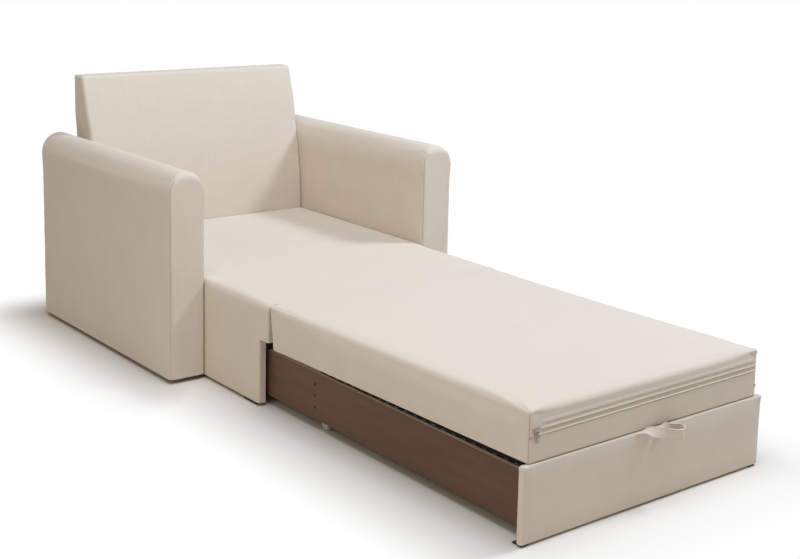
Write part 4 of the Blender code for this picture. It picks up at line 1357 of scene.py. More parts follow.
# Bed
@dataclass
class Mattress:
    """Loose zipped mattress: flat underneath, fuller and rounder at its foot end."""

    finishes: Finishes
    edge: float = 0.010
    side_edge: float = 0.015
    low_edge: float = 0.006
    rear_edge: float = 0.004
    rear_ease: float = 0.04
    foot_ease: float = 0.06
    slant: float = 0.018
    slant_reach: float = 0.16
    cell: float = 0.014
    block_height: float = 0.1145
    rear_drop: float = 0.0114
    foot_drop: float = 0.0010
    rear_sink: float = 0.0045
    foot_lift: float = 0.0028
    foot_round: float = 0.0060
    foot_reach: float = 0.045
    round_reach: float = 0.05
    corner_ease: float = 0.08
    spread: float = 0.010
    zip_tilt: float = math.radians(0.4)
    zip_half_band: float = 0.016
    zip_marks: tuple[float, ...] = (-0.010, -0.0065, -0.0035, 0.0, 0.0035, 0.0065, 0.010)
    zip_clear: float = 0.0135
    joint_reach: float = 0.25
    filling: Filling = Filling(0.6, 0.003)
    zip_crease: Crease = Crease(0.0009, 0.0036, 0.0)
    corner_crease: Crease = Crease(0.0016, 0.0024, 0.0014, 0.02)
    welt_crease: Crease = Crease(0.0014, 0.0018, 0.0005, 0.03)
    welt_marks: tuple[Point, ...] = ((0.008, 0.003, -0.002), (0.001, 0.045, -0.0006),
                                     (-0.001, 0.190, 0.0005))
    corner_dents: tuple[Dent, ...] = (Dent((-0.004, 0.004, -0.0060), (0.010, 0.012, 0.009), -0.0024),
                                      Dent((-0.0200, 0.0, -0.0120), (0.012, 0.015, 0.0080), 0.0028),
                                      Dent((-0.030, 0.020, 0.0), (0.030, 0.014, 0.02), 0.0008))

    def __post_init__(self) -> None:
        """Take the mattress's box and its zip's line from the solids."""
        self.low, self.high = node_box("mattress_cover")
        zip_low, zip_high = node_box("zip_tape")
        self.zip_centre = (zip_low.z + zip_high.z) / 2
        self.zip_slope = math.tan(self.zip_tilt)
        self.zip_half = (zip_high.x - zip_low.x) / 2
        self.top_rear = self.high.z - self.rear_drop
        self.top_foot = self.high.z - self.foot_drop
        self.under_rear = self.low.z - self.rear_sink
        self.under_foot = self.low.z + self.foot_lift
        self.item: Piece | None = None

    def zip_height(self, x: Array | float) -> Array | float:
        """Height of the zip's line at a place across the foot end."""
        return self.zip_centre + self.zip_slope * x

    def levels(self, flat_top: float) -> Array:
        """Grid marks upwards, closer along the zip.

        Args:
            flat_top: Height of the plain block before its top is drawn.

        Returns:
            Rising marks.
        """
        marks = spaced(self.low.z, flat_top, self.cell * 0.7, eased(self.low_edge, 3),
                       eased(self.side_edge, 6))
        share = (self.zip_centre - self.under_foot) / (self.top_foot - self.under_foot)
        middle = self.low.z + share * (flat_top - self.low.z)
        band = middle + np.array(self.zip_marks)
        return np.sort(np.concatenate([marks[np.abs(marks - middle) > self.zip_clear], band]))

    def skin(self) -> Skin:
        """Draw the mattress's closed cloth before it is filled."""
        near = eased(self.side_edge, 6)
        mid_z = (self.low.z + self.high.z) / 2
        flat_top = self.low.z + self.block_height
        xs = spaced(self.low.x, self.high.x, self.cell, near, near)
        foot_marks = eased(self.edge) + [0.017, 0.025, 0.034]
        ys = spaced(self.low.y, self.high.y, self.cell, foot_marks, eased(self.edge))
        skin = Skin.around(xs, ys, self.levels(flat_top))
        y, z = skin.points[:, 1], skin.points[:, 2]
        rise = (z - self.low.z) / (flat_top - self.low.z)
        behind = np.clip((self.high.y - y) / self.rear_ease, 0.0, 1.0)
        ahead = np.clip((y - self.low.y) / self.foot_ease, 0.0, 1.0)
        radius = self.low_edge + (self.edge + (self.side_edge - self.edge) * ahead - self.low_edge) * rise
        radius = self.rear_edge + (radius - self.rear_edge) * behind
        skin.round_edges(tuple(self.low), (self.high.x, self.high.y, flat_top), radius)
        x, y, z = skin.points.T
        rise = (z - self.low.z) / (flat_top - self.low.z)
        toward = (self.high.y - y) / (self.high.y - self.low.y)
        under = self.under_rear + (self.under_foot - self.under_rear) * toward
        over = self.top_rear + (self.top_foot - self.top_rear) * toward
        z[:] = under + rise * (over - under + joint_ease(self.high.y - y))
        from_foot = np.clip(1 - (y - self.low.y) / self.foot_reach, 0.0, 1.0)
        from_foot *= np.clip((self.high.x - np.abs(x)) / self.corner_ease, 0.25, 1.0) ** 0.5
        x *= 1 + self.spread / self.high.x * (1 - toward)
        z -= self.foot_round * from_foot ** 2 * np.clip((z - mid_z) / self.round_reach, 0.0, 1.0)
        y -= self.slant * (1 - rise) * np.clip(1 - (self.high.y - y) / self.slant_reach, 0.0, 1.0)
        return skin

    def held(self, points: Array) -> Array:
        """Points that rest on the drawer, carry the zip or run along a corner seam.

        Args:
            points: Points of the skin.

        Returns:
            One flag for each point.
        """
        x, y, z = points.T
        foot = y < self.low.y + 0.002
        band = foot & (np.abs(z - self.zip_height(x)) < self.zip_half_band + 0.003)
        under = z < self.low.z + 0.006
        rear = y > self.high.y - self.slant - 0.004
        rim = self.edge * 0.6
        corner = (np.abs(x) > self.high.x - rim) & (y < self.low.y + rim)
        return band | under | rear | corner

    def build(self) -> None:
        """Make, fill and sew the mattress."""
        skin = self.skin()
        item = skin.build("mattress_pad", self.finishes.linen)
        share = np.clip((self.high.y - skin.points[:, 1]) / self.joint_reach, 0.0, 1.0)
        self.filling.run(item, self.held(skin.points), share)
        refine(item)
        for side in Side:
            self.sew_side(item, side)
        ends = [(x, self.low.y, self.zip_height(x)) for x in (-self.zip_half, self.zip_half)]
        Seam(ends).press(item, self.zip_crease)
        settle(item, Body.MATTRESS, ("mattress_cover", "mattress_foam"))
        self.item = item

    def sew_side(self, item: Piece, side: Side) -> None:
        """Press one side's corner seams and welt, and fold the foot corner's ear.

        Args:
            item: The filled mattress.
            side: The side that is sewn.
        """
        sign = side.value
        inset = self.edge * EDGE_MIDDLE
        x = sign * (self.high.x - inset)
        foot = [(x, self.low.y + inset, self.low.z + 0.006), (x, self.low.y + inset, self.top_rear - 0.004)]
        Seam(foot).press(item, self.corner_crease, 17.0 + sign)
        welt = [(sign * (self.high.x + out), self.high.y - ahead,
                 self.top_rear + up + float(joint_ease(ahead))) for out, ahead, up in self.welt_marks]
        Seam(welt).press(item, self.welt_crease, 19.0 + sign)
        # The corner seam's stitches are real; their dark thread is painted shade in the groove.
        sewn_row(item, f"mattress_seam_{side.word}", foot, self.finishes.seam_thread, Body.MATTRESS)
        for soft in self.corner_dents:
            soft.press(item, (self.high.x, self.low.y, self.top_foot), side)


@dataclass(frozen=True)
class Lip:
    """Section of a folded cloth lip: a fold by the teeth, a sewn groove and the swelling cloth beyond."""

    word: str
    sign: int
    fold_height: float
    seam: float
    swell: float
    reach: float
    start: float = 0.0036
    fold: Pair = (0.0052, 0.0078)
    fold_half: float = 0.0018
    flat: float = 0.0005
    groove: float = 0.0008
    tuck: float = 0.0011
    end_tuck: float = 0.0004
    end_half: float = 0.0012

    def outline(self) -> tuple[Array, Array]:
        """Distances from the teeth across the lip, and how far the cloth stands out at each."""
        knots = (self.start, *self.fold, self.seam - self.groove, self.seam + self.groove, self.reach)
        marks = np.unique(np.concatenate([np.linspace(*ends, 5) for ends in zip(knots, knots[1:])]))

        def hump(middle: float, half: float) -> Array:
            """Round rise to 1 about a mark."""
            return np.clip(1 - ((marks - middle) / half) ** 2, 0.0, 1.0)

        folded = self.flat + (self.fold_height - self.flat) * hump(sum(self.fold) / 2, self.fold_half)
        beyond = np.clip((marks - self.seam) / (self.reach - self.seam), 0.0, 1.0)
        heights = np.where(marks <= self.seam, folded, self.swell * np.sin(math.pi * beyond ** 0.6))
        heights -= self.groove * hump(self.seam, self.groove)
        heights -= self.tuck * hump(self.start, self.fold_half)
        heights -= self.end_tuck * hump(self.reach, self.end_half)
        return marks, heights


@dataclass
class Zip:
    """The foot end's zip: coil teeth on a tape between two folded cloth lips, each sewn down."""

    mattress: Mattress
    finishes: Finishes
    lips: tuple[Lip, ...] = (Lip("upper", 1, 0.0014, 0.0135, 0.0013, 0.0245),
                             Lip("lower", -1, 0.0015, 0.0097, 0.0005, 0.0190))
    teeth: Stitching = Stitching(0.0018, 0.0030, 0.00062)
    lip_sewing: Stitching = Stitching(0.0042, 0.0040, 0.00055)
    first_stitch: float = 0.030
    waver: float = 0.0004
    teeth_gap: float = 0.0008
    teeth_depth: float = 0.0004
    tape_half: float = 0.0004
    tape_section: tuple[Pair, ...] = (
        (-0.008, -0.0004), (0.008, -0.0004), (0.008, 0.0004), (0.0022, 0.0006), (0.0018, 0.0024),
        (-0.0018, 0.0024), (-0.0022, 0.0006), (-0.008, 0.0004))
    left_start: float = 0.015
    left_fade: float = 0.022
    past_right: float = 0.007
    right_fade: float = 0.007
    eyelets: tuple[Pair, ...] = ((-0.3690, 0.2352), (-0.3465, 0.2345), (0.3680, 0.2070))
    eyelet_radius: float = 0.0027
    eyelet_wire: Pair = (0.0009, 0.0007)
    eyelet_stand: float = 0.0004
    tack: tuple[float, float, float] = (-0.3715, -0.3430, 0.2550)
    tack_sewing: Stitching = Stitching(0.0011, 0.0042, 0.00055)
    tack_stand: float = 0.0003

    def __post_init__(self) -> None:
        """Take the surface of the mattress's foot end."""
        self.tree = surface_tree(self.mattress.item)

    def depth(self, x: float, z: float) -> float:
        """Y of the mattress end at a place, or of its plane beside it."""
        hit = self.tree.ray_cast(Vector((x, self.mattress.low.y - 0.2, z)), Vector((0.0, 1.0, 0.0)))[0]
        return self.mattress.low.y if hit is None else hit.y

    def fullness(self, x: float) -> float:
        """Share of the lips' height at a place: they flatten by the slider and at the far corner."""
        half = self.mattress.zip_half
        left = (x + half - self.left_start) / self.left_fade
        right = (half + self.past_right - x) / self.right_fade
        return smooth_share(min(max(min(left, right), 0.0), 1.0))

    def add_lip(self, lip: Lip) -> None:
        """Add one folded cloth lip beside the teeth.

        Args:
            lip: The lip's section.
        """
        half = self.mattress.zip_half
        marks, heights = lip.outline()
        xs = np.linspace(-half + self.left_start, half + self.past_right, 150)
        points = []
        for x in xs:
            full = self.fullness(x)
            waver = self.waver * wander((x * 22, lip.sign * 4.0, 1.0))
            for away, rise in zip(marks, heights):
                z = self.mattress.zip_height(x) + lip.sign * (away + waver)
                rise *= 1 + 0.25 * wander((x * 60, lip.sign * 2.0, 3.0))
                lifted = rise * full if rise > 0 else rise
                points.append((x, self.depth(x, z) - lifted + 0.0002 * (1 - full), z))
        size = len(marks)
        faces = grid_faces(len(xs), size, lip.sign)
        item = add_mesh(f"zip_lip_{lip.word}", np.array(points), faces, self.finishes.linen)
        # The lighter finish on the fold band is a painted highlight on the lip's ridge.
        item.data.materials.append(self.finishes.lip_fold)
        middles = (marks[:-1] + marks[1:]) / 2
        for number, face in enumerate(item.data.polygons):
            face.material_index = int(lip.fold[0] < middles[number % (size - 1)] < lip.fold[1])
        settle(item, Body.MATTRESS)

    def thread_rows(self) -> None:
        """Add the two rows of stitches that hold the lips, in a dark thread that paints the shade of their
        grooves.
        """
        parts = []
        half = self.mattress.zip_half
        slant = np.array((1.0, 0.0, self.mattress.zip_slope))
        slant /= np.linalg.norm(slant)
        for lip in self.lips:
            rise = float(np.interp(lip.seam, *lip.outline()))
            for x in np.arange(-half + self.first_stitch, half, self.lip_sewing.pitch):
                z = self.mattress.zip_height(x) + lip.sign * lip.seam
                place = np.array((x, self.depth(x, z) - rise * self.fullness(x), z))
                parts.append(self.lip_sewing.stitch(place, slant, TO_FOOT))
        settle(add_mesh("zip_lip_stitches", *gather(parts), self.finishes.seam_thread), Body.MATTRESS)

    def coil(self) -> None:
        """Add the tape with its two interlocked rows of coil teeth."""
        high = node_box("zip_tape")[1]
        half, pitch = self.mattress.zip_half, self.teeth.pitch
        parts = []
        for number in range(int(2 * half / pitch)):
            x = -half + pitch * (number + 0.5)
            for sign in (-1, 1):
                z = self.mattress.zip_height(x) + sign * self.teeth_gap
                place = np.array((x + sign * pitch * 0.25, self.mattress.low.y + self.teeth_depth, z))
                parts.append(self.teeth.stitch(place, UP, TO_FOOT))
        xs = np.linspace(-half, half, 60)
        path = np.array([(x, high.y - self.tape_half, self.mattress.zip_height(x)) for x in xs])
        upward, outward = np.tile(UP, (len(xs), 1)), np.tile(TO_FOOT, (len(xs), 1))
        parts.append(sweep(path, upward, outward, self.tape_section))
        item = add_mesh("zip_coil_band", *gather(parts), self.finishes.coil)
        turn_outwards(item)
        settle(item, Body.MATTRESS, ("zip_tape",))

    def end_stop(self) -> None:
        """Add the eyelets at both ends of the zip and the bar tack above the slider."""
        rings = []
        turns = np.linspace(0.0, 2 * math.pi, 25)
        wide, high = self.eyelet_wire
        wire = [(wide * math.cos(turn), high * math.sin(turn)) for turn in np.arange(8) * math.pi / 4]
        for x, z in self.eyelets:
            away = np.stack([np.cos(turns), np.zeros_like(turns), np.sin(turns)], axis=1)
            path = np.array((x, self.depth(x, z) - self.eyelet_stand, z)) + away * self.eyelet_radius
            rings.append(sweep(path, away, np.tile(TO_FOOT, (len(turns), 1)), wire, False))
        item = add_mesh("zip_eyelets", *gather(rings), self.finishes.slider)
        turn_outwards(item)
        settle(item, Body.MATTRESS)
        threads = []
        low, high, z = self.tack
        for x in np.arange(low, high, self.tack_sewing.pitch):
            waver = 0.0003 * wander((x * 900, 0.0, 5.0))
            place = np.array((x, self.depth(x, z) - self.tack_stand, z + waver))
            threads.append(self.tack_sewing.stitch(place, UP, TO_FOOT))
        settle(add_mesh("zip_bar_tack", *gather(threads), self.finishes.thread), Body.MATTRESS)

    def build(self) -> None:
        """Add the whole zip."""
        self.end_stop()
        for lip in self.lips:
            self.add_lip(lip)
        self.thread_rows()
        self.coil()


@dataclass
class Hinge:
    """Cloth hinge between seat and mattress: a tape in the gap and a strip that closes the joint on top."""

    finishes: Finishes
    strip_half: float = 0.364
    seat_lap: float = 0.021
    mattress_lap: float = 0.017
    joint_edge: float = 0.0085
    clearance: float = 0.0002
    tape_waver: float = 0.00022

    def tape(self) -> None:
        """Add the tape that hangs in the gap."""
        low, high = node_box("mattress_hinge_tape")
        xs = np.linspace(low.x, high.x, 64)
        zs = np.linspace(low.z, high.z, 6)
        middle = (low.y + high.y) / 2
        points = [(x, middle + self.tape_waver * wander((x * 30, z * 60, 2.0)), z) for x in xs for z in zs]
        faces = grid_faces(len(xs), len(zs))
        item = add_mesh("hinge_tape", np.array(points), faces, self.finishes.linen)
        settle(item, Body.MATTRESS, ("mattress_hinge_tape",))

    def strip(self) -> None:
        """Add the strip over the joint."""
        tree = {name: surface_tree(bpy.data.objects[name]) for name in ("seat_pad", "mattress_pad")}
        seat_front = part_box("seat_cover")[0][1]
        near, far = seat_front - self.mattress_lap, seat_front + self.seat_lap
        ys = np.linspace(near, far, 15)
        xs = np.linspace(-self.strip_half, self.strip_half, 72)
        near_edge, far_edge = seat_front - self.joint_edge, seat_front + self.joint_edge

        def top(name: str, x: float, y: float) -> float:
            """Height of a cushion's top at a place."""
            hit = tree[name].ray_cast(Vector((x, y, 1.0)), Vector((0.0, 0.0, -1.0)))
            return hit[0].z

        points = []
        for x in xs:
            start, stop = top("mattress_pad", x, near_edge), top("seat_pad", x, far_edge)
            for y in ys:
                share = min(max((y - near_edge) / (far_edge - near_edge), 0.0), 1.0)
                height = start + (stop - start) * share
                if share == 0.0:
                    height = top("mattress_pad", x, y)
                if share == 1.0:
                    height = top("seat_pad", x, y)
                points.append((x, y, height + self.clearance))
        faces = grid_faces(len(xs), len(ys))
        item = add_mesh("hinge_strip", np.array(points), faces, self.finishes.linen)
        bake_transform(item)
        LOG.info("%s blends from chair to mattress", item.name)

    def build(self) -> None:
        """Add tape and strip."""
        self.tape()
        self.strip()


# Drawer
@dataclass
class DrawerFront:
    """Thinly padded front panel with its cloth drawn in under the pull loop."""

    finishes: Finishes
    edge: float = 0.0055
    cell: float = 0.012
    fullness: float = 0.0026
    root_half: float = 0.034
    root_depth: float = 0.022
    corner_inset: float = 0.0016
    corner_end: float = 0.004
    filling: Filling = Filling(1.0, 0.0026)
    corner_crease: Crease = Crease(0.0003, 0.0024, 0.0011, 0.024)
    ear: Dent = Dent((-0.006, 0.003, -0.004), (0.011, 0.012, 0.008), -0.0022)
    fold_top: Pair = (0.014, 0.158)
    fold_run: Pair = (-0.032, -0.038)
    fold_dents: tuple[Dent, ...] = (Dent((0.0, 0.0, 0.0), (0.007, 0.02, 0.010), 0.0015),
                                    Dent((-0.015, 0.0, 0.006), (0.008, 0.02, 0.010), -0.0014),
                                    Dent((0.015, 0.0, -0.006), (0.008, 0.02, 0.012), -0.0012))

    def __post_init__(self) -> None:
        """Take the panel's box from its solid, with the wadding along its top."""
        self.low, self.high = node_box("drawer_front_cover")
        self.high.z += self.fullness

    def skin(self) -> Skin:
        """Draw the panel's cloth before it is filled."""
        near = eased(self.edge, 3)
        xs = spaced(self.low.x, self.high.x, self.cell, near, near)
        ys = spaced(self.low.y, self.high.y, self.cell, near, near)
        zs = spaced(self.low.z, self.high.z, self.cell, near, near)
        skin = Skin.around(xs, ys, zs)
        skin.round_edges(tuple(self.low), tuple(self.high), self.edge)
        return skin

    def held(self, points: Array) -> Array:
        """Points that the board holds: the back, the top, the bottom and the strap's root.

        Args:
            points: Points of the skin.

        Returns:
            One flag for each point.
        """
        x, y, z = points.T
        rim = 0.0015
        root = (np.abs(x) < self.root_half) & (z > self.high.z - self.root_depth)
        return (y > self.low.y + self.edge) | root | (z > self.high.z - rim) | (z < self.low.z + rim)

    def build(self) -> None:
        """Make, fill and sew the panel."""
        skin = self.skin()
        item = skin.build("drawer_front_pad", self.finishes.linen)
        self.filling.run(item, self.held(skin.points))
        refine(item)
        face = self.low.y
        for share in (0.0, 0.33, 0.66, 1.0):
            x, z = (start + run * share for start, run in zip(self.fold_top, self.fold_run))
            for soft in self.fold_dents:
                soft.press(item, (x, face, z), share=1 - 0.3 * share)
        for side in Side:
            x = side.value * (self.high.x - self.corner_inset)
            y = face + self.corner_inset
            corner = [(x, y, self.low.z + self.corner_end), (x, y, self.high.z - self.corner_end)]
            Seam(corner).press(item, self.corner_crease, 23.0 + side.value)
            self.ear.press(item, (self.high.x, face, self.high.z), side)
        settle(item, Body.DRAWER, ("drawer_front_cover",))


@dataclass
class PullLoop:
    """Folded cloth loop with sewn edges, flat at its roots and on edge at its end."""

    finishes: Finishes
    width: float = 0.026
    thickness: float = 0.0040
    notch: float = 0.0018
    rise: float = 0.0018
    taper: float = 0.03
    thin_share: float = 0.45
    groove_half: float = 0.07
    fineness: int = 8
    sewing: Stitching = Stitching(0.0036, 0.0028, 0.00030)
    stitch_share: float = 0.74
    stitch_sink: float = 0.78
    end_margin: float = 0.006

    def route(self) -> list[tuple[Vector, float]]:
        """Places along the loop with the band's turn about its run, flat at the two roots."""
        low, high = node_box("drawer_front_cover")
        front = low.y
        root = high.z + self.rise
        flat = math.radians(90)
        marks = ((-0.0480, 0.0085, root - 0.0006, 1.0), (-0.0215, -0.0012, root - 0.0008, 1.0),
                 (0.0080, -0.0125, root - 0.0050, 0.66), (0.0300, -0.0225, root - 0.0105, 0.26),
                 (0.0480, -0.0285, root - 0.0145, 0.06), (0.0640, -0.0318, root - 0.0170, 0.0),
                 (0.0745, -0.0300, root - 0.0165, 0.0), (0.0785, -0.0235, root - 0.0125, 0.0),
                 (0.0755, -0.0165, root - 0.0096, 0.0), (0.0640, -0.0115, root - 0.0088, 0.08),
                 (0.0500, -0.0070, root - 0.0074, 0.42), (0.0390, -0.0005, root - 0.0016, 0.80),
                 (0.0300, 0.0085, root - 0.0006, 1.0))
        return [(Vector((x, front + out, height)), flat * turn) for x, out, height, turn in marks]

    def frames(self) -> tuple[Array, Array, Array, Array]:
        """Smooth path with the band's directions.

        Returns:
            Places, run, width and face directions, one row each.
        """
        route = self.route()
        places, turns = [], []
        padded = [route[0]] + route + [route[-1]]
        for before, first, second, after in zip(padded, padded[1:], padded[2:], padded[3:]):
            for share in np.arange(self.fineness) / self.fineness:
                square, cube = share ** 2, share ** 3
                weights = (-0.5 * share + square - 0.5 * cube, 1 - 2.5 * square + 1.5 * cube,
                           0.5 * share + 2 * square - 1.5 * cube, -0.5 * square + 0.5 * cube)
                knots = (before, first, second, after)
                places.append(sum((knot[0] * weight for knot, weight in zip(knots, weights)), Vector()))
                turns.append(sum(knot[1] * weight for knot, weight in zip(knots, weights)))
        places.append(route[-1][0])
        turns.append(route[-1][1])
        path = np.array(places)
        run = np.gradient(path, axis=0)
        run /= np.linalg.norm(run, axis=1)[:, None]
        across = np.array([(math.sin(angle), 0.0, math.cos(angle)) for angle in turns])
        across -= run * (across * run).sum(axis=1)[:, None]
        across /= np.linalg.norm(across, axis=1)[:, None]
        return path, run, across, np.cross(run, across)

    def build(self) -> None:
        """Sweep the band and sew its two edges."""
        path, run, across, face = self.frames()
        half, thick = self.width / 2, self.thickness / 2
        steps = lengths_along(path)
        face *= np.clip(np.minimum(steps, steps[-1] - steps) / self.taper, self.thin_share, 1.0)[:, None]
        upper = [(self.notch - half, 0.0), (-half, thick * 0.5)]
        for share in np.linspace(-0.96, 0.96, 17):
            groove = math.exp(-((abs(share) - self.stitch_share) / self.groove_half) ** 2)
            upper.append((share * half, thick * (1.0 - 0.3 * groove)))
        upper += [(half, thick * 0.5), (half - self.notch, 0.0)]
        section = upper + [(u, -v) for u, v in reversed(upper[1:-1])]
        points, faces = sweep(path, across, face, section)
        item = add_mesh("pull_loop", points, faces, self.finishes.linen)
        turn_outwards(item, weld=1e-5)
        refine(item)
        settle(item, Body.DRAWER, ("pull_strap",))
        parts = []
        for mark in np.arange(self.end_margin, steps[-1] - self.end_margin, self.sewing.pitch):
            middle, way, wide, out = (place_along(line, steps, mark) for line in (path, run, across, face))
            for edge in (-1, 1):
                for front in (-1, 1):
                    lift = out * front * thick * self.stitch_sink
                    place = middle + wide * edge * half * self.stitch_share + lift
                    parts.append(self.sewing.stitch(place, way, out * front))
        settle(add_mesh("pull_loop_stitches", *gather(parts), self.finishes.thread), Body.DRAWER)


@dataclass
class Lining:
    """Black lining cloth over the drawer's slats, stapled along the tops of the side boards."""

    finishes: Finishes
    sag: float = 0.0012
    sag_reach: float = 0.05
    slat_half: float = 0.034
    edge_reach: float = 0.02
    waves: float = 0.0004
    staple_length: float = 0.0115
    staple_pitch: float = 0.035
    staple_inset: float = 0.0038
    staple_shift: float = 0.0010
    staple_turn: float = 0.10
    first_staple: float = 0.016
    last_staple: float = 0.012

    def __post_init__(self) -> None:
        """Take the lining's box from its solid."""
        self.low, self.high = node_box("drawer_cloth")

    def cloth(self) -> None:
        """Add the cloth, pulled over the slats and wavy between its staples."""
        xs = np.linspace(self.low.x, self.high.x, 76)
        ys = np.linspace(self.low.y, self.high.y, 84)
        boxes = [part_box(f"drawer_slat_{number}") for number in range(1, 5)]
        slats = [(low[1] + high[1]) / 2 for low, high in boxes]
        points = []
        for x in xs:
            inside = min(1.0, (self.high.x - abs(x)) / self.edge_reach)
            for y in ys:
                gap = min(abs(y - slat) for slat in slats)
                hang = self.sag * min(1.0, max(0.0, gap - self.slat_half) / self.sag_reach) * inside
                wave = self.waves * wander((x * 12, y * 16, 4.0)) * inside
                points.append((x, y, self.high.z - 0.0001 - hang + wave))
        faces = grid_faces(len(xs), len(ys))
        item = add_mesh("drawer_lining", np.array(points), faces, self.finishes.lining)
        settle(item, Body.DRAWER, ("drawer_cloth",))

    def staples(self) -> None:
        """Add the rows of staples along both side boards."""
        half = self.staple_length / 2
        shape = [(-half, -0.0010), (-half, 0.0004), (-half + 0.0007, 0.0009), (half - 0.0007, 0.0009),
                 (half, 0.0004), (half, -0.0010)]
        wire = [(-0.0006, -0.0003), (0.0006, -0.0003), (0.0006, 0.0003), (-0.0006, 0.0003)]
        start, stop = self.low.y + self.first_staple, self.high.y - self.last_staple
        parts = []
        number = 0
        for side in Side:
            for y in np.arange(start, stop, self.staple_pitch):
                number += 1
                turn = self.staple_turn * wander((number * 1.7, 0.3, 6.0))
                along = np.array((math.sin(turn), math.cos(turn), 0.0))
                shift = self.staple_shift * wander((number * 2.3, 1.1, 6.0))
                x = side.value * (self.high.x - self.staple_inset) + shift
                middle = np.array((x, y + 2 * shift, self.high.z))
                path = np.array([middle + along * u + UP * v for u, v in shape])
                run = np.gradient(path, axis=0)
                run /= np.linalg.norm(run, axis=1)[:, None]
                across = np.tile(np.cross(along, UP), (len(path), 1))
                parts.append(sweep(path, across, np.cross(run, across), wire))
        item = add_mesh("lining_staples", *gather(parts), self.finishes.staple)
        turn_outwards(item)
        item.data.set_sharp_from_angle(angle=math.radians(35))
        settle(item, Body.DRAWER)

    def build(self) -> None:
        """Add cloth and staples."""
        self.cloth()
        self.staples()


@dataclass
class SideScrews:
    """Countersunk cross head screws that hold the drawer's rear rail between its side boards."""

    finishes: Finishes
    heights: tuple[float, ...] = (0.120, 0.090, 0.0585)
    radius: float = 0.0042
    recess: float = 0.0009
    slot_half: float = 0.00055
    slot_reach: float = 0.62
    dome: float = 0.0006
    stand: float = 0.0001
    slot_top: float = 0.0005
    rim_drop: float = 0.0014

    def head(self, centre: Vector, sign: int) -> MeshPart:
        """One screw head, seen from outside the board.

        Args:
            centre: Middle of the head on the board's face.
            sign: Direction of X out of the board.

        Returns:
            Points and faces.
        """
        rings, turns = 9, 32
        points = [np.array(centre) + np.array((sign * (self.slot_top - self.recess), 0.0, 0.0))]
        for ring in range(1, rings + 1):
            girth = self.radius * ring / rings
            for number in range(turns):
                angle = 2 * math.pi * number / turns
                u, v = girth * math.cos(angle), girth * math.sin(angle)
                slot = min(abs(u), abs(v)) < self.slot_half and girth < self.radius * self.slot_reach
                dome = self.dome * (1 - (ring / rings) ** 2) + self.stand
                rise = dome - (self.recess if slot else 0.0) - (self.rim_drop if ring == rings else 0.0)
                points.append(np.array(centre) + np.array((sign * rise, u, v)))
        faces = []
        for number in range(turns):
            after = (number + 1) % turns
            faces.append([0, 1 + number, 1 + after])
            for ring in range(rings - 1):
                base = 1 + ring * turns
                faces.append([base + number, base + turns + number, base + turns + after, base + after])
        return np.array(points), faces

    def build(self) -> None:
        """Add the screws of both side boards."""
        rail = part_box("drawer_rear_rail")
        y = (rail[0][1] + rail[1][1]) / 2
        for side in Side:
            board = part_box(f"drawer_side_{side.word}")
            x = board[0][0] if side is Side.LEFT else board[1][0]
            parts = [self.head(Vector((x, y, height)), side.value) for height in self.heights]
            item = add_mesh(f"drawer_screws_{side.word}", *gather(parts), self.finishes.screw)
            turn_outwards(item)
            settle(item, Body.DRAWER)


@dataclass
class Framework:
    """The boards, timbers, rollers, feet and metal parts whose solids are already right."""

    finishes: Finishes
    nodes: dict[str, Piece]

    def looks(self) -> list[tuple[tuple[str, ...], Finish]]:
        """Name beginnings of the nodes that take each finish."""
        made = self.finishes
        return [
            (("drawer_side_",), made.brown_board),
            (("base_rear_panel", "back_panel"), made.brown_board),
            (("arm_left_inner", "arm_right_inner", "seat_deck", "seat_side_", "drawer_front_board",
              "drawer_rear_rail"), made.chipboard),
            (("arm_left_frame", "arm_right_frame", "back_post_"), made.timber[Grain.UPRIGHT]),
            # The front seat rail takes the near-black board as painted shade under the seat's overhang.
            (("seat_rail_front",), made.dark_board),
            (("seat_rail_middle", "seat_rail_rear", "base_rear_rail", "back_top_rail", "drawer_slat_"),
             made.timber[Grain.ACROSS]),
            (("drawer_ledge_",), made.timber[Grain.ALONG]),
            (("arm_left_foot", "arm_right_foot", "seat_foot_", "drawer_guide_", "drawer_glide_"),
             made.black_plastic),
            (("drawer_wheel_bracket_",), made.zinc),
            (("drawer_wheel_left", "drawer_wheel_right"), made.roller),
            (("zip_slider", "zip_pull"), made.slider),
        ]

    def build(self) -> None:
        """Give each solid that stays its finish."""
        for starts, finish in self.looks():
            for name, item in self.nodes.items():
                if name.startswith(starts):
                    item.data.materials.clear()
                    item.data.materials.append(finish)
                    LOG.info("%s finished in %s", name, finish.name)


# Studio
def seen_directly(tree: bpy.types.NodeTree) -> Socket:
    """Socket that is 1 for rays of sight, reflection and transmission, and 0 for the light on the chair."""
    path = tree.nodes.new("ShaderNodeLightPath")
    seen = path.outputs["Is Camera Ray"]
    for ray in ("Is Glossy Ray", "Is Transmission Ray"):
        step = tree.nodes.new("ShaderNodeMath")
        step.operation = "MAXIMUM"
        tree.links.new(seen, step.inputs[0])
        tree.links.new(path.outputs[ray], step.inputs[1])
        seen = step.outputs[0]
    return seen


@dataclass(frozen=True)
class SoftLamp:
    """A large soft lamp aimed at a point."""

    name: str
    place: Point
    target: Point
    size: float
    power: float
    colour: Colour = (1.0, 1.0, 1.0)

    def build(self) -> None:
        """Hang the lamp."""
        light = bpy.data.lights.new(self.name, "AREA")
        light.shape = "DISK"
        light.size = self.size
        light.energy = self.power
        light.color = self.colour
        item = bpy.data.objects.new(self.name, light)
        item.location = self.place
        aim = Vector(self.target) - Vector(self.place)
        item.rotation_euler = aim.to_track_quat("-Z", "Y").to_euler()
        item.visible_camera = False
        bpy.context.scene.collection.objects.link(item)


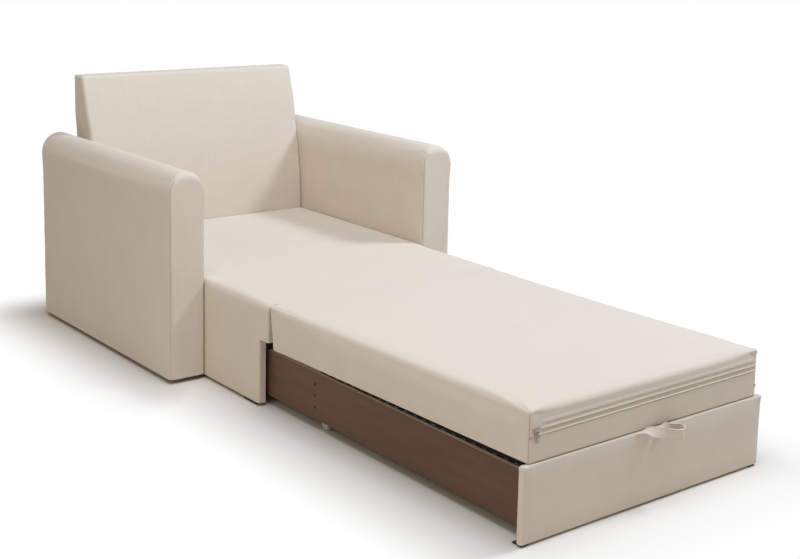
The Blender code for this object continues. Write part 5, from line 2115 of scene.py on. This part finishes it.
@dataclass
class Studio:
    """White room: a pale floor, soft lamps, even world light and the camera."""

    floor_half: float = 30.0
    floor_colour: Colour = (0.84, 0.80, 0.74)
    shadow_near: float = 0.0
    shadow_far: float = 0.28
    footprint: tuple[tuple[Pair, Pair], ...] = (
        ((-0.50, 0.25), (0.50, 1.10)), ((-0.39, -1.07), (0.39, 0.93)))
    world_colour: Colour = (1.0, 0.893, 0.732)
    world_level: float = 0.26
    lamps: tuple[SoftLamp, ...] = (
        SoftLamp("key", (3.2, -1.4, 4.2), (0.0, -0.1, 0.3), 1.2, 152.0, (0.766, 0.857, 1.0)),
        SoftLamp("fill", (-3.6, -1.2, 2.0), (0.0, 0.0, 0.3), 2.5, 21.5, (1.0, 0.893, 0.732)),
        SoftLamp("top", (-0.5, -0.9, 4.2), (0.0, -0.3, 0.0), 3.0, 105.0, (0.745, 0.846, 1.0)),
    )
    camera_place: Point = (-2.2383, -2.9994, 1.2747)
    yaw: float = 0.6686
    pitch: float = 0.1607
    roll: float = 0.0228
    focal_length: float = 61.07
    shift: Pair = (-0.01164, -0.16475)

    def from_chair(self, sheet: NodeSheet) -> Socket:
        """Distance of each place on the floor from the chair's outline.

        Args:
            sheet: Node sheet of the floor.

        Returns:
            Socket with the distance in metres.
        """
        place = sheet.add("ShaderNodeNewGeometry").outputs["Position"]
        nearest = None
        for low, high in self.footprint:
            middle = ((low[0] + high[0]) / 2, (low[1] + high[1]) / 2, 0.0)
            half = ((high[0] - low[0]) / 2, (high[1] - low[1]) / 2, 1.0)
            value = place
            for operation, other in (("SUBTRACT", middle), ("ABSOLUTE", None), ("SUBTRACT", half),
                                     ("MAXIMUM", (0.0, 0.0, 0.0)), ("LENGTH", None)):
                step = sheet.add("ShaderNodeVectorMath", operation=operation)
                sheet.feed(step.inputs[0], value)
                if other is not None:
                    sheet.feed(step.inputs[1], other)
                value = step.outputs["Value" if operation == "LENGTH" else "Vector"]
            nearest = value if nearest is None else sheet.sum(nearest, value, "MINIMUM")
        return nearest

    def floor(self) -> None:
        """Lay the pale floor, which shows white beyond the chair's own shadow."""
        half = self.floor_half
        sheet = NodeSheet("pale_floor")
        grain = sheet.noise(sheet.place(), 0.8, 2.0)
        sheet.colour(sheet.blend(grain, shade(self.floor_colour, 0.995), self.floor_colour))
        sheet.set(Roughness=0.9, Specular_IOR_Level=0.0)
        spread = sheet.add("ShaderNodeMapRange", clamp=True, interpolation_type="SMOOTHSTEP",
                           Value=self.from_chair(sheet), From_Min=self.shadow_near, From_Max=self.shadow_far)
        white = sheet.add("ShaderNodeEmission", Strength=1.0, Color=(1.0, 1.0, 1.0, 1.0))
        mixed = sheet.add("ShaderNodeMixShader")
        seen = sheet.sum(seen_directly(sheet.tree), spread.outputs["Result"], "MULTIPLY")
        for number, source in enumerate((seen, sheet.shader.outputs[0], white.outputs[0])):
            sheet.feed(mixed.inputs[number], source)
        sheet.feed(sheet.tree.nodes["Material Output"].inputs["Surface"], mixed.outputs[0])
        corners = np.array([(-half, -half, 0.0), (half, -half, 0.0), (half, half, 0.0), (-half, half, 0.0)])
        add_mesh("floor", corners, [[0, 1, 2, 3]], sheet.material)

    def world(self) -> None:
        """Light the room evenly, and show white where nothing stands."""
        world = bpy.data.worlds.new("white_room")
        bpy.context.scene.world = world
        world.use_nodes = True
        tree = world.node_tree
        back = tree.nodes["Background"]
        back.inputs["Color"].default_value = (*self.world_colour, 1.0)
        back.inputs["Strength"].default_value = self.world_level
        white = tree.nodes.new("ShaderNodeBackground")
        white.inputs["Color"].default_value = (1.0, 1.0, 1.0, 1.0)
        white.inputs["Strength"].default_value = 1.0
        mixed = tree.nodes.new("ShaderNodeMixShader")
        for number, source in enumerate((seen_directly(tree), back.outputs[0], white.outputs[0])):
            tree.links.new(source, mixed.inputs[number])
        tree.links.new(mixed.outputs[0], tree.nodes["World Output"].inputs["Surface"])

    def camera(self) -> None:
        """Set the camera at the photograph's angle."""
        data = bpy.data.cameras.new("camera")
        data.sensor_width = 36.0
        data.lens = self.focal_length
        data.shift_x, data.shift_y = self.shift
        data.clip_end = 200.0
        level = math.cos(self.pitch)
        forward = Vector((math.sin(self.yaw) * level, math.cos(self.yaw) * level, -math.sin(self.pitch)))
        right = Vector((math.cos(self.yaw), -math.sin(self.yaw), 0.0))
        up = right.cross(forward)
        tilted_right = math.cos(self.roll) * right + math.sin(self.roll) * up
        tilted_up = math.cos(self.roll) * up - math.sin(self.roll) * right
        turn = Matrix((tilted_right, tilted_up, -forward)).transposed().to_4x4()
        item = bpy.data.objects.new("camera", data)
        item.matrix_world = Matrix.Translation(self.camera_place) @ turn
        bpy.context.scene.collection.objects.link(item)
        bpy.context.scene.camera = item

    def build(self) -> None:
        """Set up the room."""
        self.camera()
        self.floor()
        self.world()
        for lamp in self.lamps:
            lamp.build()
        bpy.context.scene.view_settings.view_transform = "Standard"


def main() -> None:
    """Load the frame, dress it and light it."""
    logging.basicConfig(level=logging.INFO, format="%(message)s")
    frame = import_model()
    finishes = Finishes()
    Studio().build()
    Framework(finishes, frame["nodes"]).build()
    for side in Side:
        Arm(side, finishes).build()
    Backrest(finishes).build()
    Seat(finishes).build()
    mattress = Mattress(finishes)
    mattress.build()
    Zip(mattress, finishes).build()
    Hinge(finishes).build()
    DrawerFront(finishes).build()
    PullLoop(finishes).build()
    Lining(finishes).build()
    SideScrews(finishes).build()


if __name__ == "__main__":
    main()
